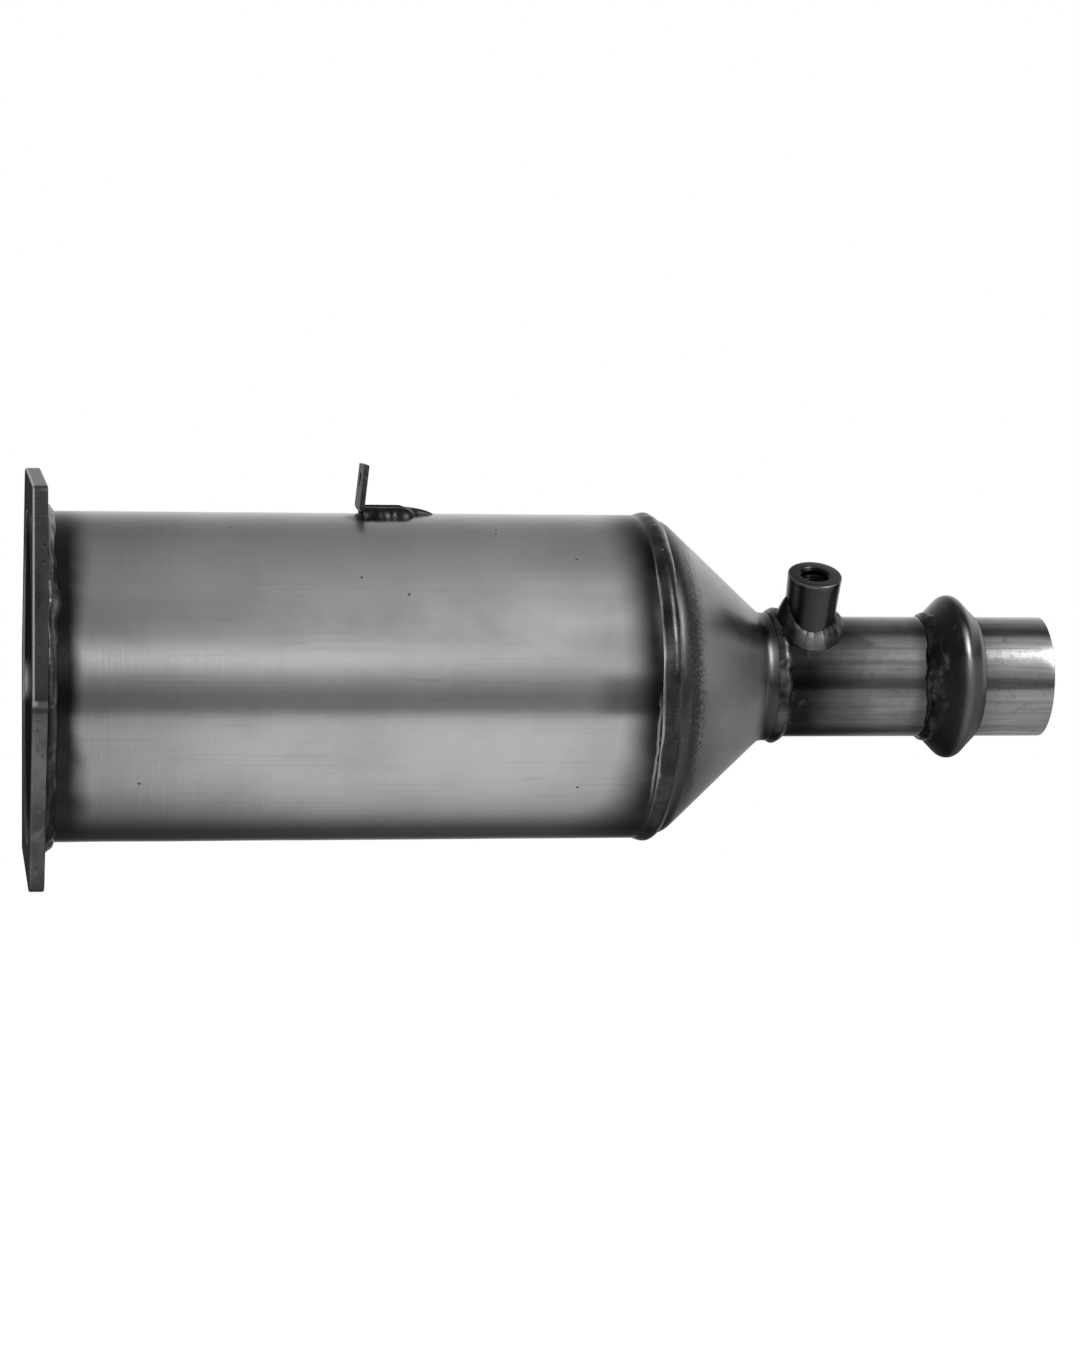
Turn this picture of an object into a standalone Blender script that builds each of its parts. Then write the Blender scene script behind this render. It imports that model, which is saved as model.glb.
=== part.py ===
# Diesel particulate filter: a rolled steel can with a bolted inlet flange, a spun outlet cone and an
# outlet pipe, round a block of bonded ceramic bars.
# Metres, +Z up. The gas flows along +X, and the origin is on that axis, in the flange's mating face.

from math import cos, pi, radians, sin, sqrt, tan

import bmesh
import bpy
from mathutils import Matrix, Vector

# Sizes that every piece shares
CLEARANCE = 0.0003
BODY_STEPS = 60
PIPE_STEPS = 48
BEAD_STEPS = 96
CUTTER_OVERRUN = 0.004

# Inlet flange: each edge is given by the way that it faces and by its margin over the can
FLANGE_THICKNESS = 0.0070
FLANGE_EDGE_FACINGS = (0.0, 33.2, 97.1)
FLANGE_EDGE_MARGINS = (0.0120, 0.0053, 0.0172)
FLANGE_CORNER_RADII = (0.0100, 0.0120, 0.0030)
FLANGE_CORNER_STEPS = 5
FLANGE_CHAMFER = 0.0008
BOLT_HOLE_RADIUS = 0.0055
BOLT_HOLE_MARGIN = 0.0216
BOLT_HOLE_FACING = 135.8
BOLT_HOLE_STEPS = 24
FLANGE_WELD_LEG = 0.0055
FLANGE_WELD_RIPPLES = 34

# Can
CAN_OUTER_RADIUS = 0.0760
CAN_WALL = 0.0012
CAN_SETBACK = 0.0012
CAN_OUTLET_ROOM = 0.0120
SEAM_WIDTH = 0.0044
SEAM_HEIGHT = 0.0006
SEAM_FACING = -32.0
SEAM_END_MARGIN = 0.0060
SEAM_ROWS = 40

# Filter block, its mat and its end seals
MAT_THICKNESS = 0.0023
FILTER_SETBACK = 0.0200
FILTER_LENGTH = 0.2540
FILTER_SKIN = 0.0006
SEGMENT_ROWS = 4
SEGMENT_OVERREACH = 0.0021
SEGMENT_JOINT = 0.0004
SEGMENT_ARC_STEP = radians(5.0)
SEAL_LENGTH = 0.0044
SEAL_BULGE = 0.0007

# Outlet cone
CONE_WALL = 0.0015
CONE_SKIRT = 0.0045
CONE_SHOULDER_SETBACK = 0.0078
CONE_ANGLE = radians(42.45)
CONE_SHOULDER_RADIUS = 0.0120
CONE_NECK_RADIUS = 0.0060
CONE_ARC_STEPS = 3
COLLAR_LENGTH = 0.0049
CONE_WELD_HEIGHT = 0.0019
CONE_WELD_BACK = 0.0036
CONE_WELD_AHEAD = 0.0058
CONE_WELD_DRIFT = 0.0005
CONE_WELD_RIPPLES = 46

# Outlet pipe
PIPE_RADIUS = 0.0285
PIPE_WALL = 0.0015
PIPE_INSERTION = 0.0060
PIPE_STANDOUT = 0.1340
PIPE_EDGE_ROUND = 0.0004
NECK_WELD_LENGTH = 0.0070
NECK_WELD_HEIGHT = 0.0024
NECK_WELD_RIPPLES = 26

# Sensor boss: it stands on the pipe, and its tilt is from upright towards -Y
BOSS_SETBACK = 0.0175
BOSS_TILT = radians(30.0)
BOSS_HEIGHT = 0.0267
BOSS_TOP_RADIUS = 0.0127
BOSS_FOOT_RADIUS = 0.0118
BOSS_BORE_RADIUS = 0.0062
BOSS_BORE_CHAMFER = 0.0013
BOSS_EDGE_CHAMFER = 0.0005
BOSS_STEPS = 36
BOSS_WELD_LEG = 0.0040

# Clamp ring
RING_SETBACK = 0.04555
RING_LAND = 0.0005
RING_FLANK_ANGLE = radians(45.0)
RING_HALF_WIDTH = 0.01195
RING_CREST_RADIUS = 0.0056
RING_CREST_STEPS = 5
RING_WELD_LEG = 0.0038
RING_WELD_RIPPLES = 17

# Clip bracket: a bent strip that stands on the can
BRACKET_STATION = 0.1510
BRACKET_TILT = radians(6.0)
BRACKET_SHEET = 0.0024
BRACKET_WIDTH = 0.0200
BRACKET_FOOT_LENGTH = 0.0210
BRACKET_HEIGHT = 0.0227
BRACKET_LEAN = radians(6.0)
BRACKET_BEND_RADIUS = 0.0012
BRACKET_BEND_STEPS = 5
BRACKET_HOLE_RADIUS = 0.0033
BRACKET_HOLE_DROP = 0.0070
BRACKET_WELD_LEG = 0.0048
BRACKET_WELD_TAIL = 0.0090
BRACKET_WELD_ROWS = 14

# Places that follow from those sizes
CAN_INNER_RADIUS = CAN_OUTER_RADIUS - CAN_WALL
FILTER_END = FILTER_SETBACK + FILTER_LENGTH
CAN_END = FILTER_END + CAN_OUTLET_ROOM
CONE_MOUTH_RADIUS = CAN_INNER_RADIUS - CLEARANCE
CONE_START = CAN_END - CONE_SKIRT
COLLAR_RADIUS = PIPE_RADIUS + CLEARANCE + CONE_WALL
CONE_SHOULDER = CAN_END + CONE_SHOULDER_SETBACK
CONE_NECK = CONE_SHOULDER + (CONE_MOUTH_RADIUS - COLLAR_RADIUS) / tan(CONE_ANGLE)
COLLAR_END = CONE_NECK + COLLAR_LENGTH
PIPE_START = COLLAR_END - PIPE_INSERTION
PIPE_END = COLLAR_END + PIPE_STANDOUT
BOSS_STATION = COLLAR_END + BOSS_SETBACK
RING_STATION = PIPE_END - RING_SETBACK
FILTER_RADIUS = CAN_INNER_RADIUS - MAT_THICKNESS - 2 * CLEARANCE
SEGMENT_TRIM_RADIUS = FILTER_RADIUS - FILTER_SKIN - CLEARANCE
SEGMENT_PITCH = 2 * (FILTER_RADIUS + SEGMENT_OVERREACH) / SEGMENT_ROWS
SEGMENT_WIDTH = SEGMENT_PITCH - SEGMENT_JOINT - 2 * CLEARANCE


def clear_scene():
    for thing in list(bpy.data.objects):
        bpy.data.objects.remove(thing, do_unlink=True)


def paint(name, colour, roughness, metallic):
    """A plain material with this grey or colour."""
    material = bpy.data.materials.new(name)
    material.use_nodes = True
    shader = material.node_tree.nodes["Principled BSDF"]
    shader.inputs["Base Color"].default_value = (*colour, 1.0)
    shader.inputs["Roughness"].default_value = roughness
    shader.inputs["Metallic"].default_value = metallic
    return material


def finish(name, mesh, material, sharp_angle=radians(35.0)):
    """Turns a bmesh into a named object with its faces pointing out."""
    bmesh.ops.recalc_face_normals(mesh, faces=mesh.faces)
    data = bpy.data.meshes.new(name)
    mesh.to_mesh(data)
    mesh.free()
    data.shade_smooth()
    data.set_sharp_from_angle(angle=sharp_angle)
    data.materials.append(material)
    thing = bpy.data.objects.new(name, data)
    bpy.context.scene.collection.objects.link(thing)
    return thing


def turned(name, profile, steps, material):
    """A closed profile of (station, radius) corners, turned once round the X axis."""
    mesh = bmesh.new()
    corners = [mesh.verts.new((station, 0.0, radius)) for station, radius in profile]
    edges = [mesh.edges.new(pair) for pair in zip(corners, corners[1:] + corners[:1])]
    bmesh.ops.spin(
        mesh, geom=corners + edges, cent=(0, 0, 0), axis=(1, 0, 0), angle=2 * pi, steps=steps, use_merge=True
    )
    bmesh.ops.remove_doubles(mesh, verts=mesh.verts, dist=1e-6)
    return finish(name, mesh, material)


def lofted(name, sections, material, closed):
    """Closed sections with equal counts of points, skinned one to the next, then closed or capped."""
    mesh = bmesh.new()
    rows = [[mesh.verts.new(point) for point in section] for section in sections]
    following = rows[1:] + rows[:1] if closed else rows[1:]
    for first, second in zip(rows, following):
        for i in range(len(first)):
            j = (i + 1) % len(first)
            mesh.faces.new((first[i], first[j], second[j], second[i]))
    if not closed:
        mesh.faces.new(rows[0])
        mesh.faces.new(rows[-1])
    return finish(name, mesh, material)


def rod(name, radius, steps, start, end):
    """A plain cylinder along local X, used to cut with."""
    mesh = bmesh.new()
    bmesh.ops.create_cone(
        mesh, cap_ends=True, segments=steps, radius1=radius, radius2=radius, depth=end - start,
        matrix=Matrix.Translation(((start + end) / 2, 0, 0)) @ Matrix.Rotation(pi / 2, 4, "Y"),
    )
    return finish(name, mesh, PAINTS["cutter"])


def cut(target, cutter):
    """Takes the cutter's shape out of the target, and keeps the cutter out of the part."""
    cutter.hide_render = True
    cutter.display_type = "WIRE"
    boolean = target.modifiers.new(cutter.name, "BOOLEAN")
    boolean.operation = "DIFFERENCE"
    boolean.solver = "EXACT"
    boolean.object = cutter


def rounded_path(corners, radii, offset, steps, closed):
    """The path through the corners with each one rounded, moved to its left by the offset.

    Each side moves sideways, the new corner is where two moved sides meet, and its arc keeps the old
    centre, so a shell made of a path and its offset has one wall all over."""
    count = len(corners)
    points = []
    for i, corner in enumerate(corners):
        if not closed and i in (0, count - 1):
            other = corners[1] if i == 0 else corners[-2]
            along = (other - corner).normalized() if i == 0 else (corner - other).normalized()
            points.append(corner + Vector((-along.y, along.x)) * offset)
            continue
        before = (corner - corners[i - 1]).normalized()
        after = (corners[(i + 1) % count] - corner).normalized()
        turn = before.x * after.y - before.y * after.x
        half = before.angle(after) / 2
        inward = (after - before).normalized()
        side = 1 if turn > 0 else -1
        radius = radii[i] - side * offset
        centre = corner + inward * (radii[i] / cos(half))
        start = Vector((before.y, -before.x)) * side
        for k in range(steps + 1):
            swing = side * 2 * half * k / steps
            x = start.x * cos(swing) - start.y * sin(swing)
            y = start.x * sin(swing) + start.y * cos(swing)
            points.append(centre + Vector((x, y)) * radius)
    return points


def on_ring(station, radius, angle):
    """The point at this station and distance from the X axis, at this angle from +Y towards +Z."""
    return Vector((station, radius * cos(angle), radius * sin(angle)))


def lumps(angle, ripples, depth, phase):
    """How a hand-laid bead swells and shrinks round its run: fine ripples on slow waves."""
    slow = 0.45 * sin(2 * angle + phase) + 0.35 * sin(5 * angle + 2.3 * phase)
    slow += 0.30 * sin(9 * angle + 0.7 * phase)
    return 1 + depth * (slow + 0.45 * sin(ripples * angle))


def ring_bead(name, section, material, steps=BEAD_STEPS):
    """A weld bead round the X axis: its section is a function of the angle, in (station, radius)."""
    angles = [2 * pi * i / steps for i in range(steps)]
    sections = [[on_ring(station, radius, angle) for station, radius in section(angle)] for angle in angles]
    return lofted(name, sections, material, closed=True)


def flange_corners():
    """Corners of the flange: the plate is the same turned half round, so three edges give all six."""
    facings = [radians(facing + half) for half in (0, 180) for facing in FLANGE_EDGE_FACINGS]
    reaches = [CAN_OUTER_RADIUS + margin for margin in FLANGE_EDGE_MARGINS] * 2
    corners = []
    for i, facing in enumerate(facings):
        after = facings[(i + 1) % len(facings)]
        reach, reach_after = reaches[i], reaches[(i + 1) % len(facings)]
        spread = sin(after - facing)
        across = (reach * sin(after) - reach_after * sin(facing)) / spread
        up = (reach_after * cos(facing) - reach * cos(after)) / spread
        corners.append(Vector((across, up)))
    return corners


def make_inlet_flange():
    """The plate, with its edges eased, bored for the can and drilled in its two ears."""
    corners = flange_corners()
    radii = FLANGE_CORNER_RADII * 2
    sections = []
    for station, inset in (
        (0.0, FLANGE_CHAMFER),
        (FLANGE_CHAMFER, 0.0),
        (FLANGE_THICKNESS - FLANGE_CHAMFER, 0.0),
        (FLANGE_THICKNESS, FLANGE_CHAMFER),
    ):
        outline = rounded_path(corners, radii, inset, FLANGE_CORNER_STEPS, closed=True)
        sections.append([Vector((station, point.x, point.y)) for point in outline])
    flange = lofted("inlet_flange", sections, PAINTS["flange_steel"], closed=False)
    start, end = -CUTTER_OVERRUN, FLANGE_THICKNESS + CUTTER_OVERRUN
    cut(flange, rod("flange_bore_cutter", CAN_OUTER_RADIUS + CLEARANCE, BODY_STEPS, start, end))
    for side, turn in (("near", 0), ("far", 180)):
        hole = on_ring(0.0, CAN_OUTER_RADIUS + BOLT_HOLE_MARGIN, radians(BOLT_HOLE_FACING + turn))
        drill = rod(f"bolt_hole_cutter_{side}", BOLT_HOLE_RADIUS, BOLT_HOLE_STEPS, start, end)
        drill.location = hole
        cut(flange, drill)


def make_flange_weld():
    """The lumpy fillet between the flange's back and the can."""
    root_station = FLANGE_THICKNESS + CLEARANCE
    root_radius = CAN_OUTER_RADIUS + CLEARANCE

    def section(angle):
        along = FLANGE_WELD_LEG * lumps(angle, FLANGE_WELD_RIPPLES, 0.20, 0.9)
        up = FLANGE_WELD_LEG * lumps(angle, FLANGE_WELD_RIPPLES, 0.12, 2.1)
        return (
            (root_station, root_radius),
            (root_station + along, root_radius),
            (root_station + 0.72 * along, root_radius + 0.42 * up),
            (root_station + 0.36 * along, root_radius + 0.78 * up),
            (root_station, root_radius + up),
        )

    ring_bead("flange_weld", section, PAINTS["weld"])


def make_filter_can():
    """The rolled tube, and the flattened seam that closes it at the back."""
    profile = (
        (CAN_SETBACK, CAN_INNER_RADIUS),
        (CAN_SETBACK, CAN_OUTER_RADIUS),
        (CAN_END, CAN_OUTER_RADIUS),
        (CAN_END, CAN_INNER_RADIUS),
    )
    turned("filter_can", profile, BODY_STEPS, PAINTS["can_steel"])
    start = FLANGE_THICKNESS + FLANGE_WELD_LEG + SEAM_END_MARGIN
    end = CAN_END - CONE_WELD_BACK - SEAM_END_MARGIN
    foot_radius = CAN_OUTER_RADIUS + CLEARANCE
    half_angle = SEAM_WIDTH / 2 / CAN_OUTER_RADIUS
    sections = []
    for row in range(SEAM_ROWS + 1):
        station = start + (end - start) * row / SEAM_ROWS
        height = SEAM_HEIGHT * (1 + 0.18 * (-1) ** row)
        spans = ((-1.0, 0.0), (1.0, 0.0), (0.55, height), (-0.55, height))
        sections.append([
            on_ring(station, foot_radius + rise, radians(SEAM_FACING) + span * half_angle)
            for span, rise in spans
        ])
    lofted("can_seam_weld", sections, PAINTS["weld"], closed=False)


def make_support_mat():
    """The fibre mat round the block, with a knitted wire ring at each end of it."""
    inner = FILTER_RADIUS + CLEARANCE
    outer = CAN_INNER_RADIUS - CLEARANCE
    start = FILTER_SETBACK + SEAL_LENGTH / 2
    end = FILTER_END - SEAL_LENGTH / 2
    profile = ((start, inner), (start, outer), (end, outer), (end, inner))
    turned("support_mat", profile, BODY_STEPS, PAINTS["mat"])
    for name, middle in (
        ("inlet_mesh_seal", start - CLEARANCE - SEAL_LENGTH / 2),
        ("outlet_mesh_seal", end + CLEARANCE + SEAL_LENGTH / 2),
    ):
        flat = SEAL_LENGTH / 2 - SEAL_BULGE
        profile = (
            (middle - flat, inner),
            (middle - SEAL_LENGTH / 2, inner + SEAL_BULGE),
            (middle - SEAL_LENGTH / 2, outer - SEAL_BULGE),
            (middle - flat, outer),
            (middle + flat, outer),
            (middle + SEAL_LENGTH / 2, outer - SEAL_BULGE),
            (middle + SEAL_LENGTH / 2, inner + SEAL_BULGE),
            (middle + flat, inner),
        )
        turned(name, profile, BODY_STEPS, PAINTS["wire"])


def bar_outline(row, column, margin):
    """Outline of one ceramic bar with a margin round it: a square, cut by the block's round."""
    middle = (SEGMENT_ROWS - 1) / 2
    half = SEGMENT_WIDTH / 2 + margin
    limit = SEGMENT_TRIM_RADIUS + margin
    centre = Vector(((column - middle) * SEGMENT_PITCH, (row - middle) * SEGMENT_PITCH))
    corners = [centre + Vector(signs) * half for signs in ((-1, -1), (1, -1), (1, 1), (-1, 1))]
    points = []
    for corner, after in zip(corners, corners[1:] + corners[:1]):
        if corner.length <= limit:
            points.append(corner)
        side = after - corner
        a, b, c = side.dot(side), 2 * corner.dot(side), corner.dot(corner) - limit * limit
        root = b * b - 4 * a * c
        if root > 0:
            crossings = [(-b - sqrt(root)) / (2 * a), (-b + sqrt(root)) / (2 * a)]
            points.extend(corner + side * share for share in crossings if 0 < share < 1)
    return with_arcs(points, limit)


def with_arcs(points, limit):
    """The same outline, with each side between two points of the block's round made an arc."""
    smooth = []
    for point, after in zip(points, points[1:] + points[:1]):
        smooth.append(point)
        if min(point.length, after.length) > limit - 1e-7:
            swing = point.angle_signed(after)
            steps = max(1, round(abs(swing) / SEGMENT_ARC_STEP))
            for k in range(1, steps):
                turn = Matrix.Rotation(-swing * k / steps, 2)
                smooth.append(turn @ point)
    return smooth


def bar(name, outline, start, end, material):
    """A bar along X with this outline."""
    ends = [[Vector((station, point.x, point.y)) for point in outline] for station in (start, end)]
    return lofted(name, ends, material, closed=False)


def make_filter_block():
    """Square ceramic bars, the outer ones ground to the round, and the cement that bonds them."""
    bars = [(row, column) for row in range(SEGMENT_ROWS) for column in range(SEGMENT_ROWS)]
    block = rod("filter_cement", FILTER_RADIUS, BODY_STEPS, FILTER_SETBACK, FILTER_END)
    block.data.materials[0] = PAINTS["cement"]
    for row, column in bars:
        name = f"{row + 1}_{column + 1}"
        outline = bar_outline(row, column, 0.0)
        bar(f"filter_segment_{name}", outline, FILTER_SETBACK, FILTER_END, PAINTS["ceramic"])
        pocket = bar_outline(row, column, CLEARANCE)
        start, end = FILTER_SETBACK - CUTTER_OVERRUN, FILTER_END + CUTTER_OVERRUN
        cut(block, bar(f"pocket_cutter_{name}", pocket, start, end, PAINTS["cutter"]))


def cone_path(offset):
    """The cone's outer side from its skirt to the collar's end, moved out by the offset."""
    corners = [
        Vector((CONE_START, CONE_MOUTH_RADIUS)),
        Vector((CONE_SHOULDER, CONE_MOUTH_RADIUS)),
        Vector((CONE_NECK, COLLAR_RADIUS)),
        Vector((COLLAR_END, COLLAR_RADIUS)),
    ]
    radii = (0.0, CONE_SHOULDER_RADIUS, CONE_NECK_RADIUS, 0.0)
    return rounded_path(corners, radii, offset, CONE_ARC_STEPS, closed=False)


def make_outlet_cone():
    """The spun shell: its skirt slips into the can, and its collar takes the pipe."""
    profile = cone_path(0.0) + cone_path(-CONE_WALL)[::-1]
    turned("outlet_cone", [tuple(point) for point in profile], BODY_STEPS, PAINTS["cone_steel"])


def make_cone_weld():
    """The bead that closes the can's end onto the cone's shoulder."""
    over_can = CAN_OUTER_RADIUS + CLEARANCE
    over_cone = CONE_MOUTH_RADIUS + CLEARANCE

    def section(angle):
        crest = over_can + CONE_WELD_HEIGHT * lumps(angle, CONE_WELD_RIPPLES, 0.16, 1.7)
        middle = CAN_END + CONE_WELD_DRIFT * (sin(3 * angle + 0.4) + 0.6 * sin(11 * angle))
        return (
            (middle - CONE_WELD_BACK, over_can),
            (CAN_END + CLEARANCE, over_can),
            (CAN_END + CLEARANCE, over_cone),
            (middle + CONE_WELD_AHEAD, over_cone),
            (middle + 0.85 * CONE_WELD_AHEAD, 0.45 * crest + 0.55 * over_can),
            (middle + 0.35 * CONE_WELD_AHEAD, crest),
            (middle - 0.25 * CONE_WELD_BACK, 0.7 * crest + 0.3 * over_can),
        )

    ring_bead("cone_weld", section, PAINTS["weld"])


def make_outlet_pipe():
    """The tube, with rounded ends and the sensor's gas hole under the boss."""
    inner = PIPE_RADIUS - PIPE_WALL
    profile = []
    for station, into in ((PIPE_START, 1), (PIPE_END, -1)):
        profile += [
            (station + into * PIPE_EDGE_ROUND, inner),
            (station, inner + PIPE_EDGE_ROUND),
            (station, PIPE_RADIUS - PIPE_EDGE_ROUND),
            (station + into * PIPE_EDGE_ROUND, PIPE_RADIUS),
        ][::into]
    pipe = turned("outlet_pipe", profile, PIPE_STEPS, PAINTS["pipe_steel"])
    drill = rod("gas_hole_cutter", BOSS_BORE_RADIUS, BOSS_STEPS, PIPE_RADIUS / 2, PIPE_RADIUS + BOSS_HEIGHT)
    stand_on_boss_axis(drill)
    cut(pipe, drill)


def stand_on_boss_axis(thing):
    """Turns a piece that was made along X so that it lies along the boss's axis."""
    upright = Matrix.Translation((BOSS_STATION, 0, 0)) @ Matrix.Rotation(BOSS_TILT, 4, "X")
    thing.matrix_world = upright @ Matrix.Rotation(-pi / 2, 4, "Y")


def make_neck_weld():
    """The bead between the cone's collar and the pipe, broken where the boss's own weld takes over."""
    start = COLLAR_END + CLEARANCE
    foot = PIPE_RADIUS + CLEARANCE

    def section(angle):
        length = NECK_WELD_LENGTH * lumps(angle, NECK_WELD_RIPPLES, 0.10, 0.3)
        height = NECK_WELD_HEIGHT * lumps(angle, NECK_WELD_RIPPLES, 0.13, 2.6)
        return (
            (start, foot),
            (start + length, foot),
            (start + 0.8 * length, foot + 0.55 * height),
            (start + 0.4 * length, foot + height),
            (start, foot + 0.75 * height),
        )

    bead = ring_bead("neck_weld", section, PAINTS["weld"], steps=2 * PIPE_STEPS)
    reach = BOSS_FOOT_RADIUS + BOSS_WELD_LEG + 2 * CLEARANCE
    notch = rod("neck_notch_cutter", reach, PIPE_STEPS, PIPE_RADIUS / 2, PIPE_RADIUS + BOSS_HEIGHT)
    stand_on_boss_axis(notch)
    cut(bead, notch)


def make_sensor_boss():
    """The threaded bush: bored through, chamfered, and its foot cut to the pipe's round."""
    foot = PIPE_RADIUS / 2
    top = PIPE_RADIUS + BOSS_HEIGHT
    profile = (
        (foot, BOSS_BORE_RADIUS),
        (foot, BOSS_FOOT_RADIUS),
        (PIPE_RADIUS, BOSS_FOOT_RADIUS),
        (top - BOSS_EDGE_CHAMFER, BOSS_TOP_RADIUS),
        (top, BOSS_TOP_RADIUS - BOSS_EDGE_CHAMFER),
        (top, BOSS_BORE_RADIUS + BOSS_BORE_CHAMFER),
        (top - BOSS_BORE_CHAMFER, BOSS_BORE_RADIUS),
    )
    boss = turned("sensor_boss", profile, BOSS_STEPS, PAINTS["boss_steel"])
    stand_on_boss_axis(boss)
    reach = 2 * BOSS_TOP_RADIUS
    start, end = BOSS_STATION - reach, BOSS_STATION + reach
    pipe_room = rod("boss_saddle_cutter", PIPE_RADIUS + CLEARANCE, PIPE_STEPS, start, end)
    cut(boss, pipe_room)


def make_boss_weld():
    """The bead that runs along the meeting line of boss and pipe.

    At each angle round the boss, the pipe's surface stands sqrt(R^2 - across^2) from the pipe's axis,
    measured along the boss's axis, where across is the distance from the plane of both axes."""
    pipe = PIPE_RADIUS + CLEARANCE
    boss = BOSS_FOOT_RADIUS + CLEARANCE
    frame = Matrix.Translation((BOSS_STATION, 0, 0)) @ Matrix.Rotation(BOSS_TILT, 4, "X")

    def surface(distance, angle):
        return sqrt(pipe * pipe - (distance * sin(angle)) ** 2)

    sections = []
    for i in range(2 * BOSS_STEPS):
        angle = pi * i / BOSS_STEPS
        # The bead is fuller on the outlet side and in front, where there is room to lay it.
        room = 0.5 + 0.5 * cos(angle)
        leg = BOSS_WELD_LEG * (0.80 + 0.42 * room + 0.10 * sin(9 * angle) + 0.05 * sin(23 * angle))
        base = surface(boss, angle)
        slope = (BOSS_TOP_RADIUS - BOSS_FOOT_RADIUS) / BOSS_HEIGHT
        inner = boss + slope * leg
        outline = (
            (inner, base + 0.02 * leg),
            (boss + leg, surface(boss + leg, angle)),
            (boss + 0.78 * leg, surface(boss + 0.78 * leg, angle) + 0.42 * leg),
            (boss + 0.42 * leg, base + 0.78 * leg),
            (inner, base + leg),
        )
        sections.append([
            frame @ Vector((distance * cos(angle), distance * sin(angle), along))
            for distance, along in outline
        ])
    lofted("boss_weld", sections, PAINTS["weld"], closed=True)


def make_clamp_ring():
    """The olive-shaped ring that the clamp pulls on: two straight flanks and a round crest."""
    foot = PIPE_RADIUS + CLEARANCE
    land = foot + RING_LAND
    peak = land + RING_HALF_WIDTH * tan(RING_FLANK_ANGLE)
    corners = [
        Vector((RING_STATION - RING_HALF_WIDTH, land)),
        Vector((RING_STATION, peak)),
        Vector((RING_STATION + RING_HALF_WIDTH, land)),
    ]
    crest = rounded_path(corners, (0.0, RING_CREST_RADIUS, 0.0), 0.0, RING_CREST_STEPS, closed=False)
    profile = [(corners[0].x, foot), *[tuple(point) for point in crest], (corners[-1].x, foot)]
    turned("clamp_ring", profile, PIPE_STEPS, PAINTS["ring_steel"])


def make_ring_weld():
    """The rough bead in the corner between the pipe and the ring's inner flank."""
    foot = PIPE_RADIUS + CLEARANCE
    corner = RING_STATION - RING_HALF_WIDTH - CLEARANCE
    land = foot + RING_LAND + CLEARANCE

    def section(angle):
        along = RING_WELD_LEG * lumps(angle, RING_WELD_RIPPLES, 0.20, 1.1)
        up = 0.9 * RING_WELD_LEG * lumps(angle, RING_WELD_RIPPLES, 0.16, 0.2)
        return (
            (corner - along, foot),
            (corner, foot),
            (corner, land),
            (corner + up / tan(RING_FLANK_ANGLE), land + up),
            (corner + 0.25 * up, land + up),
            (corner - 0.55 * along, land + 0.5 * up),
        )

    ring_bead("ring_weld", section, PAINTS["weld"], steps=2 * PIPE_STEPS)


def bracket_frame():
    """The bracket's own place: X along the can, Z away from it, with Z = 0 on the can's surface."""
    return Matrix.Rotation(BRACKET_TILT, 4, "X") @ Matrix.Translation((0, 0, CAN_OUTER_RADIUS))


def make_clip_bracket():
    """The bent strip: a foot along the can and an upright that leans to the outlet, with a hole."""
    lean = Vector((sin(BRACKET_LEAN), cos(BRACKET_LEAN)))
    base = CLEARANCE
    corners = [
        Vector((BRACKET_STATION, base)) + lean * BRACKET_HEIGHT,
        Vector((BRACKET_STATION, base)),
        Vector((BRACKET_STATION + BRACKET_FOOT_LENGTH, base)),
    ]
    radii = (0.0, BRACKET_BEND_RADIUS + BRACKET_SHEET, 0.0)
    outer = rounded_path(corners, radii, 0.0, BRACKET_BEND_STEPS, closed=False)
    inner = rounded_path(corners, radii, BRACKET_SHEET, BRACKET_BEND_STEPS, closed=False)
    outline = outer + inner[::-1]
    half = BRACKET_WIDTH / 2
    sides = [[Vector((point.x, across, point.y)) for point in outline] for across in (-half, half)]
    bracket = lofted("clip_bracket", sides, PAINTS["bracket_steel"], closed=False)
    bracket.matrix_world = bracket_frame()
    middle = corners[1] + lean * (BRACKET_HEIGHT - BRACKET_HOLE_DROP)
    reach = 2 * CUTTER_OVERRUN
    drill = rod("bracket_hole_cutter", BRACKET_HOLE_RADIUS, BOLT_HOLE_STEPS, -reach, reach)
    place = bracket_frame() @ Matrix.Translation((middle.x, 0, middle.y))
    drill.matrix_world = place @ Matrix.Rotation(BRACKET_LEAN, 4, "Y")
    cut(bracket, drill)


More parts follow.
